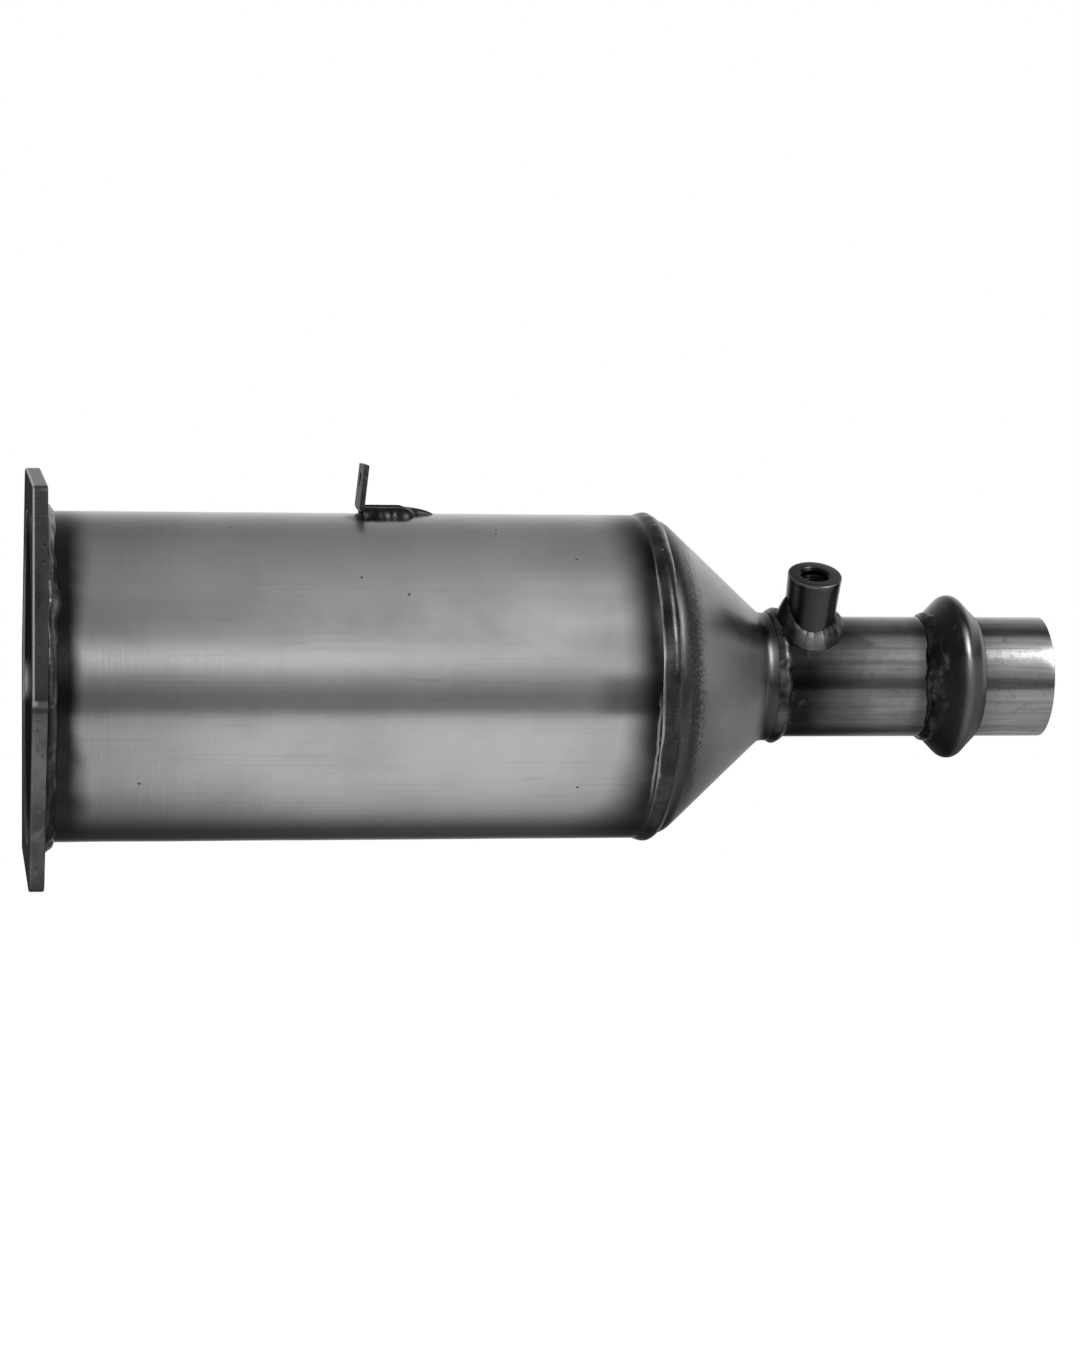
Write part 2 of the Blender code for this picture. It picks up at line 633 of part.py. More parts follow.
def make_bracket_weld():
    """The bead down both sides of the bracket's foot and round its end, where it runs out in a tail."""
    half = BRACKET_WIDTH / 2 + CLEARANCE
    start = BRACKET_STATION + BRACKET_SHEET
    end = BRACKET_STATION + BRACKET_FOOT_LENGTH + CLEARANCE
    surface_radius = CAN_OUTER_RADIUS + CLEARANCE
    top = BRACKET_SHEET
    frame = bracket_frame()
    route = []
    rows = BRACKET_WELD_ROWS
    for k in range(rows + 1):
        route.append((Vector((start + (end - start) * k / rows, -half)), Vector((0.0, -1.0))))
    for k in range(1, rows):
        across = -half + 2 * half * k / rows
        route.append((Vector((end, across)), Vector((1.0, 0.0))))
    for k in range(rows + 1):
        route.append((Vector((end - (end - start) * k / rows, half)), Vector((0.0, 1.0))))
    sections = []
    for i, (root, out) in enumerate(route):
        share = i / (len(route) - 1)
        tail = BRACKET_WELD_TAIL * max(0.0, 1 - abs(share - 0.42) / 0.14) if out.x else 0.0
        leg = (BRACKET_WELD_LEG + tail) * (1 + 0.10 * sin(2.1 * i) + 0.06 * sin(0.8 * i))
        if i in (rows, 2 * rows):
            out = Vector((0.7, out.y or (-0.7 if i == rows else 0.7))).normalized()
        points = []
        for distance, rise in ((0.0, 0.0), (1.0, 0.0), (0.6, 0.55), (0.0, 1.0)):
            place = root + out * leg * distance
            ground = sqrt(surface_radius ** 2 - place.y ** 2) - CAN_OUTER_RADIUS
            points.append(frame @ Vector((place.x, place.y, ground + (top - ground) * rise)))
        sections.append(points)
    lofted("bracket_weld", sections, PAINTS["weld"], closed=False)


clear_scene()
PAINTS = {
    "flange_steel": paint("flange_steel", (0.055, 0.055, 0.055), 0.45, 0.9),
    "can_steel": paint("can_steel", (0.40, 0.40, 0.40), 0.35, 1.0),
    "cone_steel": paint("cone_steel", (0.20, 0.20, 0.20), 0.40, 1.0),
    "pipe_steel": paint("pipe_steel", (0.26, 0.26, 0.26), 0.35, 1.0),
    "boss_steel": paint("boss_steel", (0.035, 0.035, 0.035), 0.35, 0.9),
    "ring_steel": paint("ring_steel", (0.030, 0.030, 0.030), 0.30, 0.9),
    "bracket_steel": paint("bracket_steel", (0.035, 0.035, 0.035), 0.45, 0.9),
    "weld": paint("weld", (0.090, 0.090, 0.090), 0.45, 0.9),
    "mat": paint("mat", (0.55, 0.50, 0.42), 0.95, 0.0),
    "wire": paint("wire", (0.30, 0.30, 0.30), 0.45, 1.0),
    "cement": paint("cement", (0.30, 0.29, 0.27), 0.95, 0.0),
    "ceramic": paint("ceramic", (0.13, 0.13, 0.14), 0.90, 0.0),
    "cutter": paint("cutter", (0.80, 0.10, 0.10), 0.50, 0.0),
}
make_inlet_flange()
make_flange_weld()
make_filter_can()
make_support_mat()
make_filter_block()
make_outlet_cone()
make_cone_weld()
make_outlet_pipe()
make_neck_weld()
make_sensor_boss()
make_boss_weld()
make_clamp_ring()
make_ring_weld()
make_clip_bracket()
make_bracket_weld()
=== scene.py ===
# Diesel particulate filter: looks of the steel can, its flange, cone, pipe and welds, and of the
# ceramic block inside. Metres, +Z up, gas along +X, origin on the gas axis in the flange's mating face.

from math import cos, pi, radians, sin

import bmesh
import bpy
import numpy as np
from mathutils.geometry import delaunay_2d_cdt
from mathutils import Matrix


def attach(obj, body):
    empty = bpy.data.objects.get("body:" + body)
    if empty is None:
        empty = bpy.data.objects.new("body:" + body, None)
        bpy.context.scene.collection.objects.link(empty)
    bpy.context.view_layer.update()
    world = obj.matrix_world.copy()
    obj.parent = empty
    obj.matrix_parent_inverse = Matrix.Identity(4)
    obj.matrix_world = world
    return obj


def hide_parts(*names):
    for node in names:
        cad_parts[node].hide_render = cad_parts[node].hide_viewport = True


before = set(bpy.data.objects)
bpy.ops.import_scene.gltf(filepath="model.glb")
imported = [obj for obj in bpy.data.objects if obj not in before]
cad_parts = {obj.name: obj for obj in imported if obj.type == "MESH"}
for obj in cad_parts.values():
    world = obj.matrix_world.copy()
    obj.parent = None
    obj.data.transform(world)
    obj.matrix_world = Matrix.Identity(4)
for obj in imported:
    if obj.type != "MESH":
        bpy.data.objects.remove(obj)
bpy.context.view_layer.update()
scene = bpy.context.scene

# Camera: it stands level with the gas axis, a little to the left of the can, and looks slightly
# towards the outlet. Its lens follows from how much smaller the far end of the can looks.
CAMERA_PLACE = (-0.0448, -1.676, 0.0007)
CAMERA_TURN = radians(9.6)
CAMERA_LENS = 96.56
camera_data = bpy.data.cameras.new("camera")
camera_data.lens = CAMERA_LENS
camera_data.sensor_fit = "VERTICAL"
camera_data.sensor_height = 36.0
camera = bpy.data.objects.new("camera", camera_data)
camera.location = CAMERA_PLACE
camera.rotation_euler = (pi / 2, 0.0, -CAMERA_TURN)
scene.collection.objects.link(camera)
scene.camera = camera
scene.view_settings.view_transform = "Standard"


# Studio: a white table whose front edge lies below the picture, a white room, and one soft lamp.
# Bare metal shows the room's paler and darker parts by the way that its surface faces.
TABLE_LEVEL = -0.25
TABLE_FRONT = -0.54
TABLE_BACK = 3.2
TABLE_SIDE = 3.2
SHADE_END = 1.46
WHITE = (1.0, 1.0, 1.0, 1.0)
# The room's greys by degrees of lift over the horizon, as the can's left part mirrors them and as the
# cone and the pipe do. A colour ramp holds no more than 1, so it gets a quarter of each.
UNDER_TABLE = ((-180, 1.0), (-60, 1.0), (-36, 0.95), (-32, 0.26))
LIFTS_LEFT = UNDER_TABLE + ((-12, 0.28), (8, 0.72), (20, 0.72), (30, 0.51), (42, 0.41), (50, 0.45), (62, 0.57),
                            (85, 0.54), (105, 0.46), (118, 0.38), (132, 0.42), (146, 0.62), (160, 0.85), (180, 1.0))
LIFTS_RIGHT = UNDER_TABLE + ((-9, 0.28), (2, 0.80), (12, 1.05), (22, 1.0), (32, 1.0), (42, 1.05), (50, 1.15),
                             (63, 1.2), (75, 1.0), (87, 0.22), (101, 0.12), (112, 0.35), (125, 0.6), (145, 0.95),
                             (180, 1.0))
LIFT_QUARTER = 4.0
# The table's greys that bare metal mirrors, by distance behind the gas axis. The dark run behind the axis is a
# painted shadow of the object.
TABLE_SHADES = ((-0.54, 0.92), (-0.30, 1.0), (-0.12, 0.96), (-0.05, 0.84), (0.02, 0.58), (0.08, 0.25), (0.14, 0.09),
                (0.40, 0.06), (0.90, 0.5), (1.40, 0.9))


def add(kind, sockets, tree=None, **settings):
    """One shader node: each socket takes a value, or is joined to another node's output, whose tree the node
    then belongs to."""
    tree = tree or next(value.id_data for value in sockets.values() if isinstance(value, bpy.types.NodeSocket))
    made = tree.nodes.new(kind)
    for key, value in settings.items():
        setattr(made, key, value)
    for key, value in sockets.items():
        if isinstance(value, bpy.types.NodeSocket):
            tree.links.new(value, made.inputs[key])
        else:
            made.inputs[key].default_value = value
    return made


def maths(operation, *numbers):
    """The result of one sum on numbers and outputs."""
    return add("ShaderNodeMath", dict(enumerate(numbers)), operation=operation).outputs[0]


def times(product, *factors):
    """The product of numbers and outputs."""
    for factor in factors:
        product = maths("MULTIPLY", product, factor)
    return product


def between(value, low, high, start=0.0, end=1.0):
    """A smooth step: start up to low, end from high, and an S-shaped rise from one to the other."""
    return add("ShaderNodeMapRange", {0: value, 1: low, 2: high, 3: start, 4: end},
               interpolation_type="SMOOTHSTEP").outputs[0]


def bell(value, middle, spread):
    """A bell curve that is 1 at its middle: e to the power of -((value - middle) / spread) ^ 2."""
    off = maths("DIVIDE", maths("SUBTRACT", value, middle), spread)
    return maths("EXPONENT", times(times(off, off), -1.0))


def apart(place):
    """The three coordinates of a place or a direction."""
    return add("ShaderNodeSeparateXYZ", {0: place}).outputs


def by_ray(looked_at, mirrored, lighting):
    """Three shaders in one: what the camera sees, what bare metal mirrors, and what lights the rest."""
    rays = looked_at.id_data.nodes.new("ShaderNodeLightPath").outputs
    seen = maths("MAXIMUM", rays["Is Camera Ray"], rays["Is Transmission Ray"])
    unseen = add("ShaderNodeMixShader", {0: rays["Is Glossy Ray"], 1: lighting, 2: mirrored}).outputs[0]
    return add("ShaderNodeMixShader", {0: seen, 1: unseen, 2: looked_at}).outputs[0]


def ramp(value, stops):
    """Greys by position from 0 to 1. Each stop is (position, grey), with a straight run to the next."""
    made = add("ShaderNodeValToRGB", {0: value})
    elements = made.color_ramp.elements
    while len(elements) < len(stops):
        elements.new(0.5)
    for element, (position, shade) in zip(elements, stops):
        element.position = position
        element.color = (shade, shade, shade, 1.0)
    return made.outputs[0]


def blank(name):
    """A new material, with the input that its shader goes to and the output that gives a point's own place."""
    made = bpy.data.materials.new(name)
    made.use_nodes = True
    nodes = made.node_tree.nodes
    nodes.clear()
    return made, nodes.new("ShaderNodeOutputMaterial").inputs[0], nodes.new("ShaderNodeTexCoord").outputs["Object"]


room = bpy.data.worlds.new("white_room")
room.use_nodes = True
tree = room.node_tree
tree.nodes.clear()
x, y, z = apart(tree.nodes.new("ShaderNodeTexCoord").outputs["Generated"])
lift = maths("ARCTAN2", z, times(y, -1.0))
turn = maths("MULTIPLY_ADD", lift, 1 / (2 * pi), 0.5)
left, right = (ramp(turn, [((angle + 180) / 360, shade / LIFT_QUARTER) for angle, shade in lifts])
               for lifts in (LIFTS_LEFT, LIFTS_RIGHT))
both = add("ShaderNodeMix", {0: between(x, 0.215, 0.255), 6: left, 7: right}, data_type="RGBA").outputs[2]
# Towards the cone and the pipe a lamp glows in the room, and far to the left a pale stripe stands just
# over the horizon.
strength = maths("ADD", between(x, 0.284, 0.310, 0.0, 1.4), between(x, 0.42, 0.52, 0.0, 1.5))
glow = bell(lift, radians(42), between(x, 0.40, 0.50, radians(12), radians(20)))
glow = times(glow, strength, between(x, 0.62, 0.80, 1.0, 0.0))
glow = maths("MULTIPLY_ADD", bell(lift, radians(12), radians(8)), between(x, 0.05, 0.10, 0.34, 0.0), glow)
shine = add("ShaderNodeVectorMath", {0: both, 1: glow}, operation="ADD").outputs[0]
sides = between(maths("ABSOLUTE", x), 0.5, 0.9, LIFT_QUARTER, 0.8 * LIFT_QUARTER)
mirrored = add("ShaderNodeBackground", {0: shine, 1: sides}).outputs[0]
white, even = (add("ShaderNodeBackground", {0: WHITE, 1: level}, tree).outputs[0] for level in (1.0, 0.62))
tree.links.new(by_ray(white, mirrored, even), tree.nodes.new("ShaderNodeOutputWorld").inputs[0])
scene.world = room

table_mesh = bpy.data.meshes.new("table")
table_corners = [(x, y, TABLE_LEVEL) for x in (-TABLE_SIDE, TABLE_SIDE) for y in (TABLE_FRONT, TABLE_BACK)]
table_mesh.from_pydata(table_corners, [], [(0, 2, 3, 1)])
table = bpy.data.objects.new("table", table_mesh)
scene.collection.objects.link(table)
table_paint, out, spot = blank("white_table")
x, y, _ = apart(spot)
depth = add("ShaderNodeMapRange", {0: y, 1: TABLE_FRONT, 2: SHADE_END}).outputs[0]
shade = ramp(depth, [((back - TABLE_FRONT) / (SHADE_END - TABLE_FRONT), shade) for back, shade in TABLE_SHADES])
# Towards the stub the table's mirrored grey is painted paler: painted light for the stub's underside.
shade = maths("MAXIMUM", shade, between(x, 0.44, 0.54, 0.0, 0.30))
tree = table_paint.node_tree
board = add("ShaderNodeBsdfDiffuse", {0: (0.85, 0.85, 0.85, 1.0)}, tree).outputs[0]
pale = add("ShaderNodeEmission", {0: WHITE, 1: 1.12}, tree).outputs[0]
shown = add("ShaderNodeMixShader", {0: 0.82, 1: board, 2: pale}).outputs[0]
sheen = add("ShaderNodeEmission", {0: shade, 1: 1.0}).outputs[0]
tree.links.new(by_ray(shown, sheen, board), out)
table_mesh.materials.append(table_paint)

lamp_data = bpy.data.lights.new("soft_lamp", "AREA")
lamp_data.energy = 14.0
lamp_data.size = 0.9
lamp = bpy.data.objects.new("soft_lamp", lamp_data)
lamp.location = (0.15, -1.0, 1.25)
lamp.rotation_euler = (radians(40), 0.0, 0.0)
lamp.visible_glossy = False
scene.collection.objects.link(lamp)


# Inlet flange: a plate cut from thick steel, nearly square, with two opposite corners cut off, bored
# for the can and drilled in its ears. Dark mill scale, rubbed lighter along its edges, with painted light
# and shade by height and painted highlights on its front edge.
FLANGE_THICKNESS = 0.0070
FLANGE_EDGE_FACINGS = (0.0, 33.2, 97.1)
FLANGE_EDGE_REACHES = (0.0880, 0.0813, 0.0932)
FLANGE_CORNER_RADII = (0.0045, 0.0120, 0.0030)
FLANGE_EASE = 0.0008
FLANGE_BORE_RADIUS = 0.0763
BOLT_HOLE_RADIUS = 0.0055
BOLT_HOLE_REACH = 0.0976
BOLT_HOLE_FACING = radians(135.8)
BOLT_HOLE_LIP = 0.0006
BORE_LIP = 0.0003
SMOOTH_UP_TO = 38.0


def eased(corners, radii, steps):
    """A path through the corners, each swapped for an arc. An open path's ends have a radius of 0.

    An arc starts radius * tan(turn / 2) before its corner, its centre is one radius to the side, and its
    points are the first one turned about that centre in equal steps."""
    corners, radii = np.asarray(corners, float), np.asarray(radii, float)[:, None]
    before = corners - np.roll(corners, 1, axis=0)
    before /= np.linalg.norm(before, axis=1, keepdims=True)
    after = np.roll(before, -1, axis=0)
    bend = np.arctan2(before[:, :1] * after[:, 1:] - before[:, 1:] * after[:, :1],
                      np.sum(before * after, axis=1, keepdims=True))
    start = corners - before * radii * np.tan(np.abs(bend) / 2)
    centre = start + np.sign(bend) * radii * np.stack((-before[:, 1], before[:, 0]), axis=1)
    swing = bend * np.linspace(0, 1, steps + 1)
    arm = (start - centre)[:, None]
    across = arm[..., 0] * np.cos(swing) - arm[..., 1] * np.sin(swing)
    up = arm[..., 0] * np.sin(swing) + arm[..., 1] * np.cos(swing)
    path = (np.stack((across, up), axis=2) + centre[:, None]).reshape(-1, 2)
    fresh = np.linalg.norm(path - np.roll(path, 1, axis=0), axis=1) > 1e-7
    return path[fresh]


def finer(path, step, closed=True):
    """The same path with more points: each side is parted into equal stretches no longer than the step."""
    ends = np.roll(path, -1, axis=0) if closed else path[1:]
    starts = path if closed else path[:-1]
    counts = np.maximum(1, np.ceil(np.linalg.norm(ends - starts, axis=1) / step)).astype(int)
    which = np.repeat(np.arange(len(starts)), counts)
    share = (np.arange(counts.sum()) - np.repeat(np.cumsum(counts) - counts, counts)) / counts[which]
    points = starts[which] + (ends - starts)[which] * share[:, None]
    return points if closed else np.vstack((points, path[-1:]))


def sideways(path, closed=True):
    """Unit arrows to the right of the path at each point, square to the line between its neighbours."""
    if closed:
        along = np.roll(path, -1, axis=0) - np.roll(path, 1, axis=0)
    else:
        along = np.gradient(path, axis=0)
    along /= np.linalg.norm(along, axis=1, keepdims=True)
    return np.stack((along[:, 1], -along[:, 0]), axis=1)


def skin(grid, rows_close=True, columns_close=True, capped=False):
    """A grid of points and one face for each four neighbours. The grid may close on itself both ways, and
    one whose rows stay open may get a flat face over its first row and its last."""
    rows, columns = grid.shape[:2]
    i = np.arange(rows if rows_close else rows - 1)[:, None]
    j = np.arange(columns if columns_close else columns - 1)[None, :]
    below, beside = (i + 1) % rows, (j + 1) % columns
    corners = (i * columns + j, i * columns + beside, below * columns + beside, below * columns + j)
    faces = np.stack(np.broadcast_arrays(*corners), axis=2).reshape(-1, 4).tolist()
    if capped:
        faces += [list(range(columns)), list(range((rows - 1) * columns, rows * columns))]
    return grid.reshape(-1, 3), faces


def at_station(station, flat):
    """The points of a flat shape, all at one station."""
    return np.insert(flat, 0, station, axis=1)


def solid(name, points, faces, sharp=SMOOTH_UP_TO, merge=0.0):
    """An object from points and faces, with the faces turned outwards and the edges past the angle sharp."""
    data = bpy.data.meshes.new(name)
    data.from_pydata(points.tolist(), [], faces)
    body = bmesh.new()
    body.from_mesh(data)
    if merge:
        bmesh.ops.remove_doubles(body, verts=body.verts, dist=merge)
    bmesh.ops.recalc_face_normals(body, faces=body.faces)
    body.to_mesh(data)
    body.free()
    data.shade_smooth()
    data.set_sharp_from_angle(angle=radians(sharp))
    made = bpy.data.objects.new(name, data)
    scene.collection.objects.link(made)
    return made


def turn_once(count):
    """Angles once round the axis, as a column."""
    return np.arange(count)[:, None] * 2 * pi / count


def spool(name, path, steps, origin=(0.0, 0.0, 0.0), lean=None):
    """A cutter turned from an open (station, radius) path that starts and ends at radius 0. It lies along X,
    or with a lean it stands up and leans that far from upright towards -Y."""
    angle = turn_once(steps)
    station, radius = np.asarray(path, float).T
    station = station + 0 * angle
    across, up = radius * np.cos(angle), radius * np.sin(angle)
    if lean is None:
        grid = np.stack((station, across, up), axis=2)
    else:
        grid = np.stack((across, up * cos(lean) - station * sin(lean), up * sin(lean) + station * cos(lean)), axis=2)
    points, faces = skin(grid + np.array(origin), columns_close=False)
    return solid(name, points, faces, merge=1e-7)


def drilled(target, *cutters):
    """Takes the cutters' shapes out of the target for good, and removes the cutters."""
    for cutter in cutters:
        boolean = target.modifiers.new(cutter.name, "BOOLEAN")
        boolean.operation, boolean.solver, boolean.object = "DIFFERENCE", "EXACT", cutter
    bare = bpy.data.meshes.new_from_object(target.evaluated_get(bpy.context.evaluated_depsgraph_get()))
    target.modifiers.clear()
    target.data = bare
    bare.shade_smooth()
    bare.set_sharp_from_angle(angle=radians(SMOOTH_UP_TO))
    for cutter in cutters:
        bpy.data.objects.remove(cutter, do_unlink=True)


def fitted(made, paint, node):
    """A finished piece: it gets its paint and its slot, rides on the body and stands for its CAD node."""
    made.data.materials.clear()
    made.data.materials.append(paint)
    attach(made, "root")
    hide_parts(node)


def effect(name, inputs, output):
    """A new node group with these number inputs and one output. Gives the group, its inputs, the output that
    gives a point's own place, and a closing step."""
    made = bpy.data.node_groups.new(name, "ShaderNodeTree")
    for label, value in inputs.items():
        made.interface.new_socket(label, in_out="INPUT", socket_type="NodeSocketFloat").default_value = value
    made.interface.new_socket(output, in_out="OUTPUT", socket_type="NodeSocketFloat")
    begin, spot, end = (made.nodes.new(kind) for kind in ("NodeGroupInput", "ShaderNodeTexCoord", "NodeGroupOutput"))
    return made, begin.outputs, spot.outputs["Object"], lambda value: made.links.new(value, end.inputs[0])


def placed(spot, group, **values):
    """An effect in a piece's own material, with its own values."""
    return add("ShaderNodeGroup", values, spot.id_data, node_tree=group).outputs[0]


def noise(spot, scale, detail=5.0, rough=0.6, stretch=(1, 1, 1), shift=0.0):
    """Cloudy noise, with so many clouds to the metre, stretched on the object's own axes."""
    moved = add("ShaderNodeMapping", {"Vector": spot, "Location": (shift,) * 3, "Scale": stretch}).outputs[0]
    sockets = {"Vector": moved, "Scale": scale, "Detail": detail, "Roughness": rough}
    return add("ShaderNodeTexNoise", sockets).outputs[0]


def blend(share, first, second):
    """The number that lies this share of the way from first to second."""
    return add("ShaderNodeMix", {0: share, 2: first, 3: second}).outputs[0]


def layered(value, *layers):
    """A grey or a roughness with layers over it, each of them a share and its own number."""
    for share, number in layers:
        value = blend(share, value, number)
    return value


def band(value, low, full, full_end, high):
    """1 from full to full_end, 0 up to low and from high, with a smooth step on either side."""
    return times(between(value, low, full), between(value, full_end, high, 1.0, 0.0))


def finish(out, shade, rough, height, depth, metallic=1.0):
    """Ends a material: its grey, its roughness, and a height that is worth so many metres."""
    colour = add("ShaderNodeCombineColor", {0: shade, 1: shade, 2: shade}).outputs[0]
    bump = add("ShaderNodeBump", {"Height": height, "Distance": depth, "Strength": 1.0}).outputs[0]
    body = add("ShaderNodeBsdfPrincipled", {"Base Color": colour, "Roughness": rough, "Metallic": metallic,
                                           "Normal": bump})
    out.id_data.links.new(body.outputs[0], out)
    return body


# Small round spots, such as weld spatter: each cell of a Voronoi pattern may hold one at its centre.
specks, ins, spot, close = effect("specks", {"Scale": 300.0, "Size": 0.2, "Share": 0.1}, "Mask")
spots = add("ShaderNodeTexVoronoi", {"Vector": spot, "Scale": ins["Scale"]}).outputs
chosen = add("ShaderNodeSeparateColor", {0: spots["Color"]}).outputs[0]
picked = maths("LESS_THAN", chosen, ins["Share"])
close(times(picked, between(spots["Distance"], times(ins["Size"], 0.5), ins["Size"], 1.0, 0.0)))

# Each corner of the flange lies where the lines of two neighbouring edges cross.
facings = np.radians([facing + half for half in (0, 180) for facing in FLANGE_EDGE_FACINGS])
reaches = np.array(FLANGE_EDGE_REACHES * 2)
after, reach_after = np.roll(facings, -1), np.roll(reaches, -1)
corners = np.stack((reaches * np.sin(after) - reach_after * np.sin(facings),
                    reach_after * np.cos(facings) - reaches * np.cos(after)), axis=1)
corners /= np.sin(after - facings)[:, None]
outline = finer(eased(corners, FLANGE_CORNER_RADII * 2, 10), 0.0015)
outward = sideways(outline)
polar = outline / np.linalg.norm(outline, axis=1, keepdims=True)
half_way = (outline + polar * FLANGE_BORE_RADIUS) / 2
eased_edge = [(FLANGE_EASE * (1 - sin(c)), outline - outward * FLANGE_EASE * (1 - cos(c)))
              for c in np.linspace(0, pi / 2, 5)]
rings = [(0.0, polar * (FLANGE_BORE_RADIUS + BORE_LIP)), (0.0, half_way), *eased_edge[::-1],
         *((FLANGE_THICKNESS - depth, ring) for depth, ring in eased_edge), (FLANGE_THICKNESS, half_way),
         (FLANGE_THICKNESS, polar * FLANGE_BORE_RADIUS), (BORE_LIP, polar * FLANGE_BORE_RADIUS)]
flange = solid("flange_plate", *skin(np.stack([at_station(*ring) for ring in rings], axis=1)))
# The drill runs 2 mm past both faces, and opens there into a countersink that breaks the hole's edge.
past = 0.002
drill_path = [(-past, 0.0), (-past, BOLT_HOLE_RADIUS + BOLT_HOLE_LIP + past), (BOLT_HOLE_LIP, BOLT_HOLE_RADIUS)]
drill_path += [(FLANGE_THICKNESS - depth, radius) for depth, radius in reversed(drill_path)]
drilled(flange, *(spool("drill", drill_path, 64, (0.0, BOLT_HOLE_REACH * cos(facing), BOLT_HOLE_REACH * sin(facing)))
                  for facing in (BOLT_HOLE_FACING, BOLT_HOLE_FACING + pi)))
paint, out, spot = blank("mill_scale")
x, y, z = apart(spot)
clouds = noise(spot, 38, 6.0)
grit = noise(spot, 900, 3.0, 0.7)
worn = between(noise(spot, 160, 5.0, 0.65, shift=0.4), 0.56, 0.72)
pits = placed(spot, specks, Scale=420.0, Size=0.34, Share=0.30)
shade = blend(between(clouds, 0.35, 0.65), 0.050, 0.095)
shade = layered(shade, (times(worn, 0.5), 0.16), (times(pits, 0.5), 0.02))
# The plate is painted lighter below the kink in its front edge and on top, and darker above the kink and
# near the bottom: painted light and shade. On the near side a painted highlight lies on the ridge where the
# edge's two sides meet, with a painted shadow in the groove below it. The eased corner is rubbed bright and
# carries a painted highlight, and the mating face is dull with soot.
shade = times(shade, between(z, -0.0135, -0.0105, 1.8, 0.55), between(z, 0.080, 0.084, 1.0, 1.8),
              between(z, -0.056, -0.034, 0.70, 1.0))
on_rim = between(y, -0.082, -0.078, 0.8, 0.0)
ridge = times(on_rim, band(z, -0.0138, -0.0126, -0.0114, -0.0102))
groove_shadow = times(on_rim, band(z, -0.0172, -0.0156, -0.0144, -0.0136))
rubbed_edge_highlight = times(band(x, 0.0001, 0.0003, 0.0008, 0.0013), between(z, -0.014, -0.008, 0.05, 0.70))
shade = layered(shade, (ridge, between(x, 0.0012, 0.0034, 0.34, 0.11)), (groove_shadow, 0.035), (rubbed_edge_highlight, 0.55))
bare = between(x, 0.00003, 0.00018)
shade = blend(bare, blend(clouds, 0.025, 0.055), shade)
rough = blend(bare, 0.85, blend(grit, 0.34, 0.52))
height = maths("SUBTRACT", maths("ADD", times(grit, 0.35), clouds), pits)
dull = finish(out, shade, rough, height, 0.00012, metallic=bare)
dull.inputs["Specular IOR Level"].default_value = 0.0
fitted(flange, paint, "inlet_flange")


# Flange weld: a hand-laid fillet in the corner between the flange's back and the can, heavy and lumpy,
# left as welded: crescents from the torch, grey scale and a few bright beads.
CAN_RADIUS = 0.0760
FLANGE_WELD_LEG = 0.0055
FLANGE_WELD_LUMP = 2.69
FLANGE_WELD_GAP = 0.00005


def round_axis(station, radius, angle):
    """Points at these stations and radii, at angles from +Y towards +Z: y = radius * cos, z = radius * sin."""
    station, radius, angle = np.broadcast_arrays(station, radius, angle)
    return np.stack((station, radius * np.cos(angle), radius * np.sin(angle)), axis=2)


def unrest(angle, across, low, high, seed, count=14):
    """Uneven swelling, about -1 to 1: sines with whole numbers of waves round the run, from low to high, and
    slow waves across the bead, added up with shares that fall as the waves get shorter."""
    dice = np.random.default_rng(seed)
    waves = np.unique(np.round(np.geomspace(low, high, count)))
    total = 0.0 * (angle + across)
    for wave in waves:
        total += (low / wave) ** 0.35 * np.sin(wave * angle + dice.uniform(-3, 3) * across + dice.uniform(0, 2 * pi))
    return total / np.sqrt(len(waves))


def crescents(angle, across, count, bow, seed):
    """Ridges that the weld pool leaves: a wave with sharpened crests, count to the turn, whose phase lags
    with the square of the distance from the bead's middle and wanders a little."""
    phase = count * angle - bow * (2 * across - 1) ** 2 + 1.3 * unrest(angle, 0, 2, 30, seed)
    return np.abs(np.cos(phase / 2)) ** 0.7


def fillet(across, along, up, corner, radius, power):
    """Stations and radii of a bead in a corner, from its toe on the tube to its toe on the wall, across from 0 to 1:
    corner + along * cos(pi / 2 * across) ^ power, and radius + up * sin(pi / 2 * across) ^ power."""
    return corner + along * np.cos(pi / 2 * across) ** power, radius + up * np.sin(pi / 2 * across) ** power


def bead(name, angle, top, under):
    """A bead round the gas axis from the stations and radii of its top, and of its underside on the way back."""
    return solid(name, *skin(np.concatenate([round_axis(*part, angle) for part in (top, under)], axis=1)))


def bead_paint(name, dark, light, clouds_per_metre, slag, balls, rough):
    """Weld metal: its grey drifts from dark to light in clouds, slag lies on a share of it, and spatter on less."""
    paint, out, spot = blank(name)
    clouds = noise(spot, clouds_per_metre, 3.0, 0.5)
    fine = noise(spot, 1100, 3.0)
    crust = times(between(noise(spot, 210, 3.0, 0.55, shift=0.7), 0.48, 0.62), slag)
    spots = placed(spot, specks, Scale=230.0, Size=0.24, Share=balls)
    shade = layered(between(clouds, 0.38, 0.62, dark, light), (crust, 0.5 * dark), (spots, 0.36))
    grip = blend(crust, blend(fine, rough, rough + 0.12), 0.55)
    height = maths("ADD", times(fine, 0.3), maths("ADD", times(crust, 0.6), spots))
    return paint, spot, out, shade, grip, height


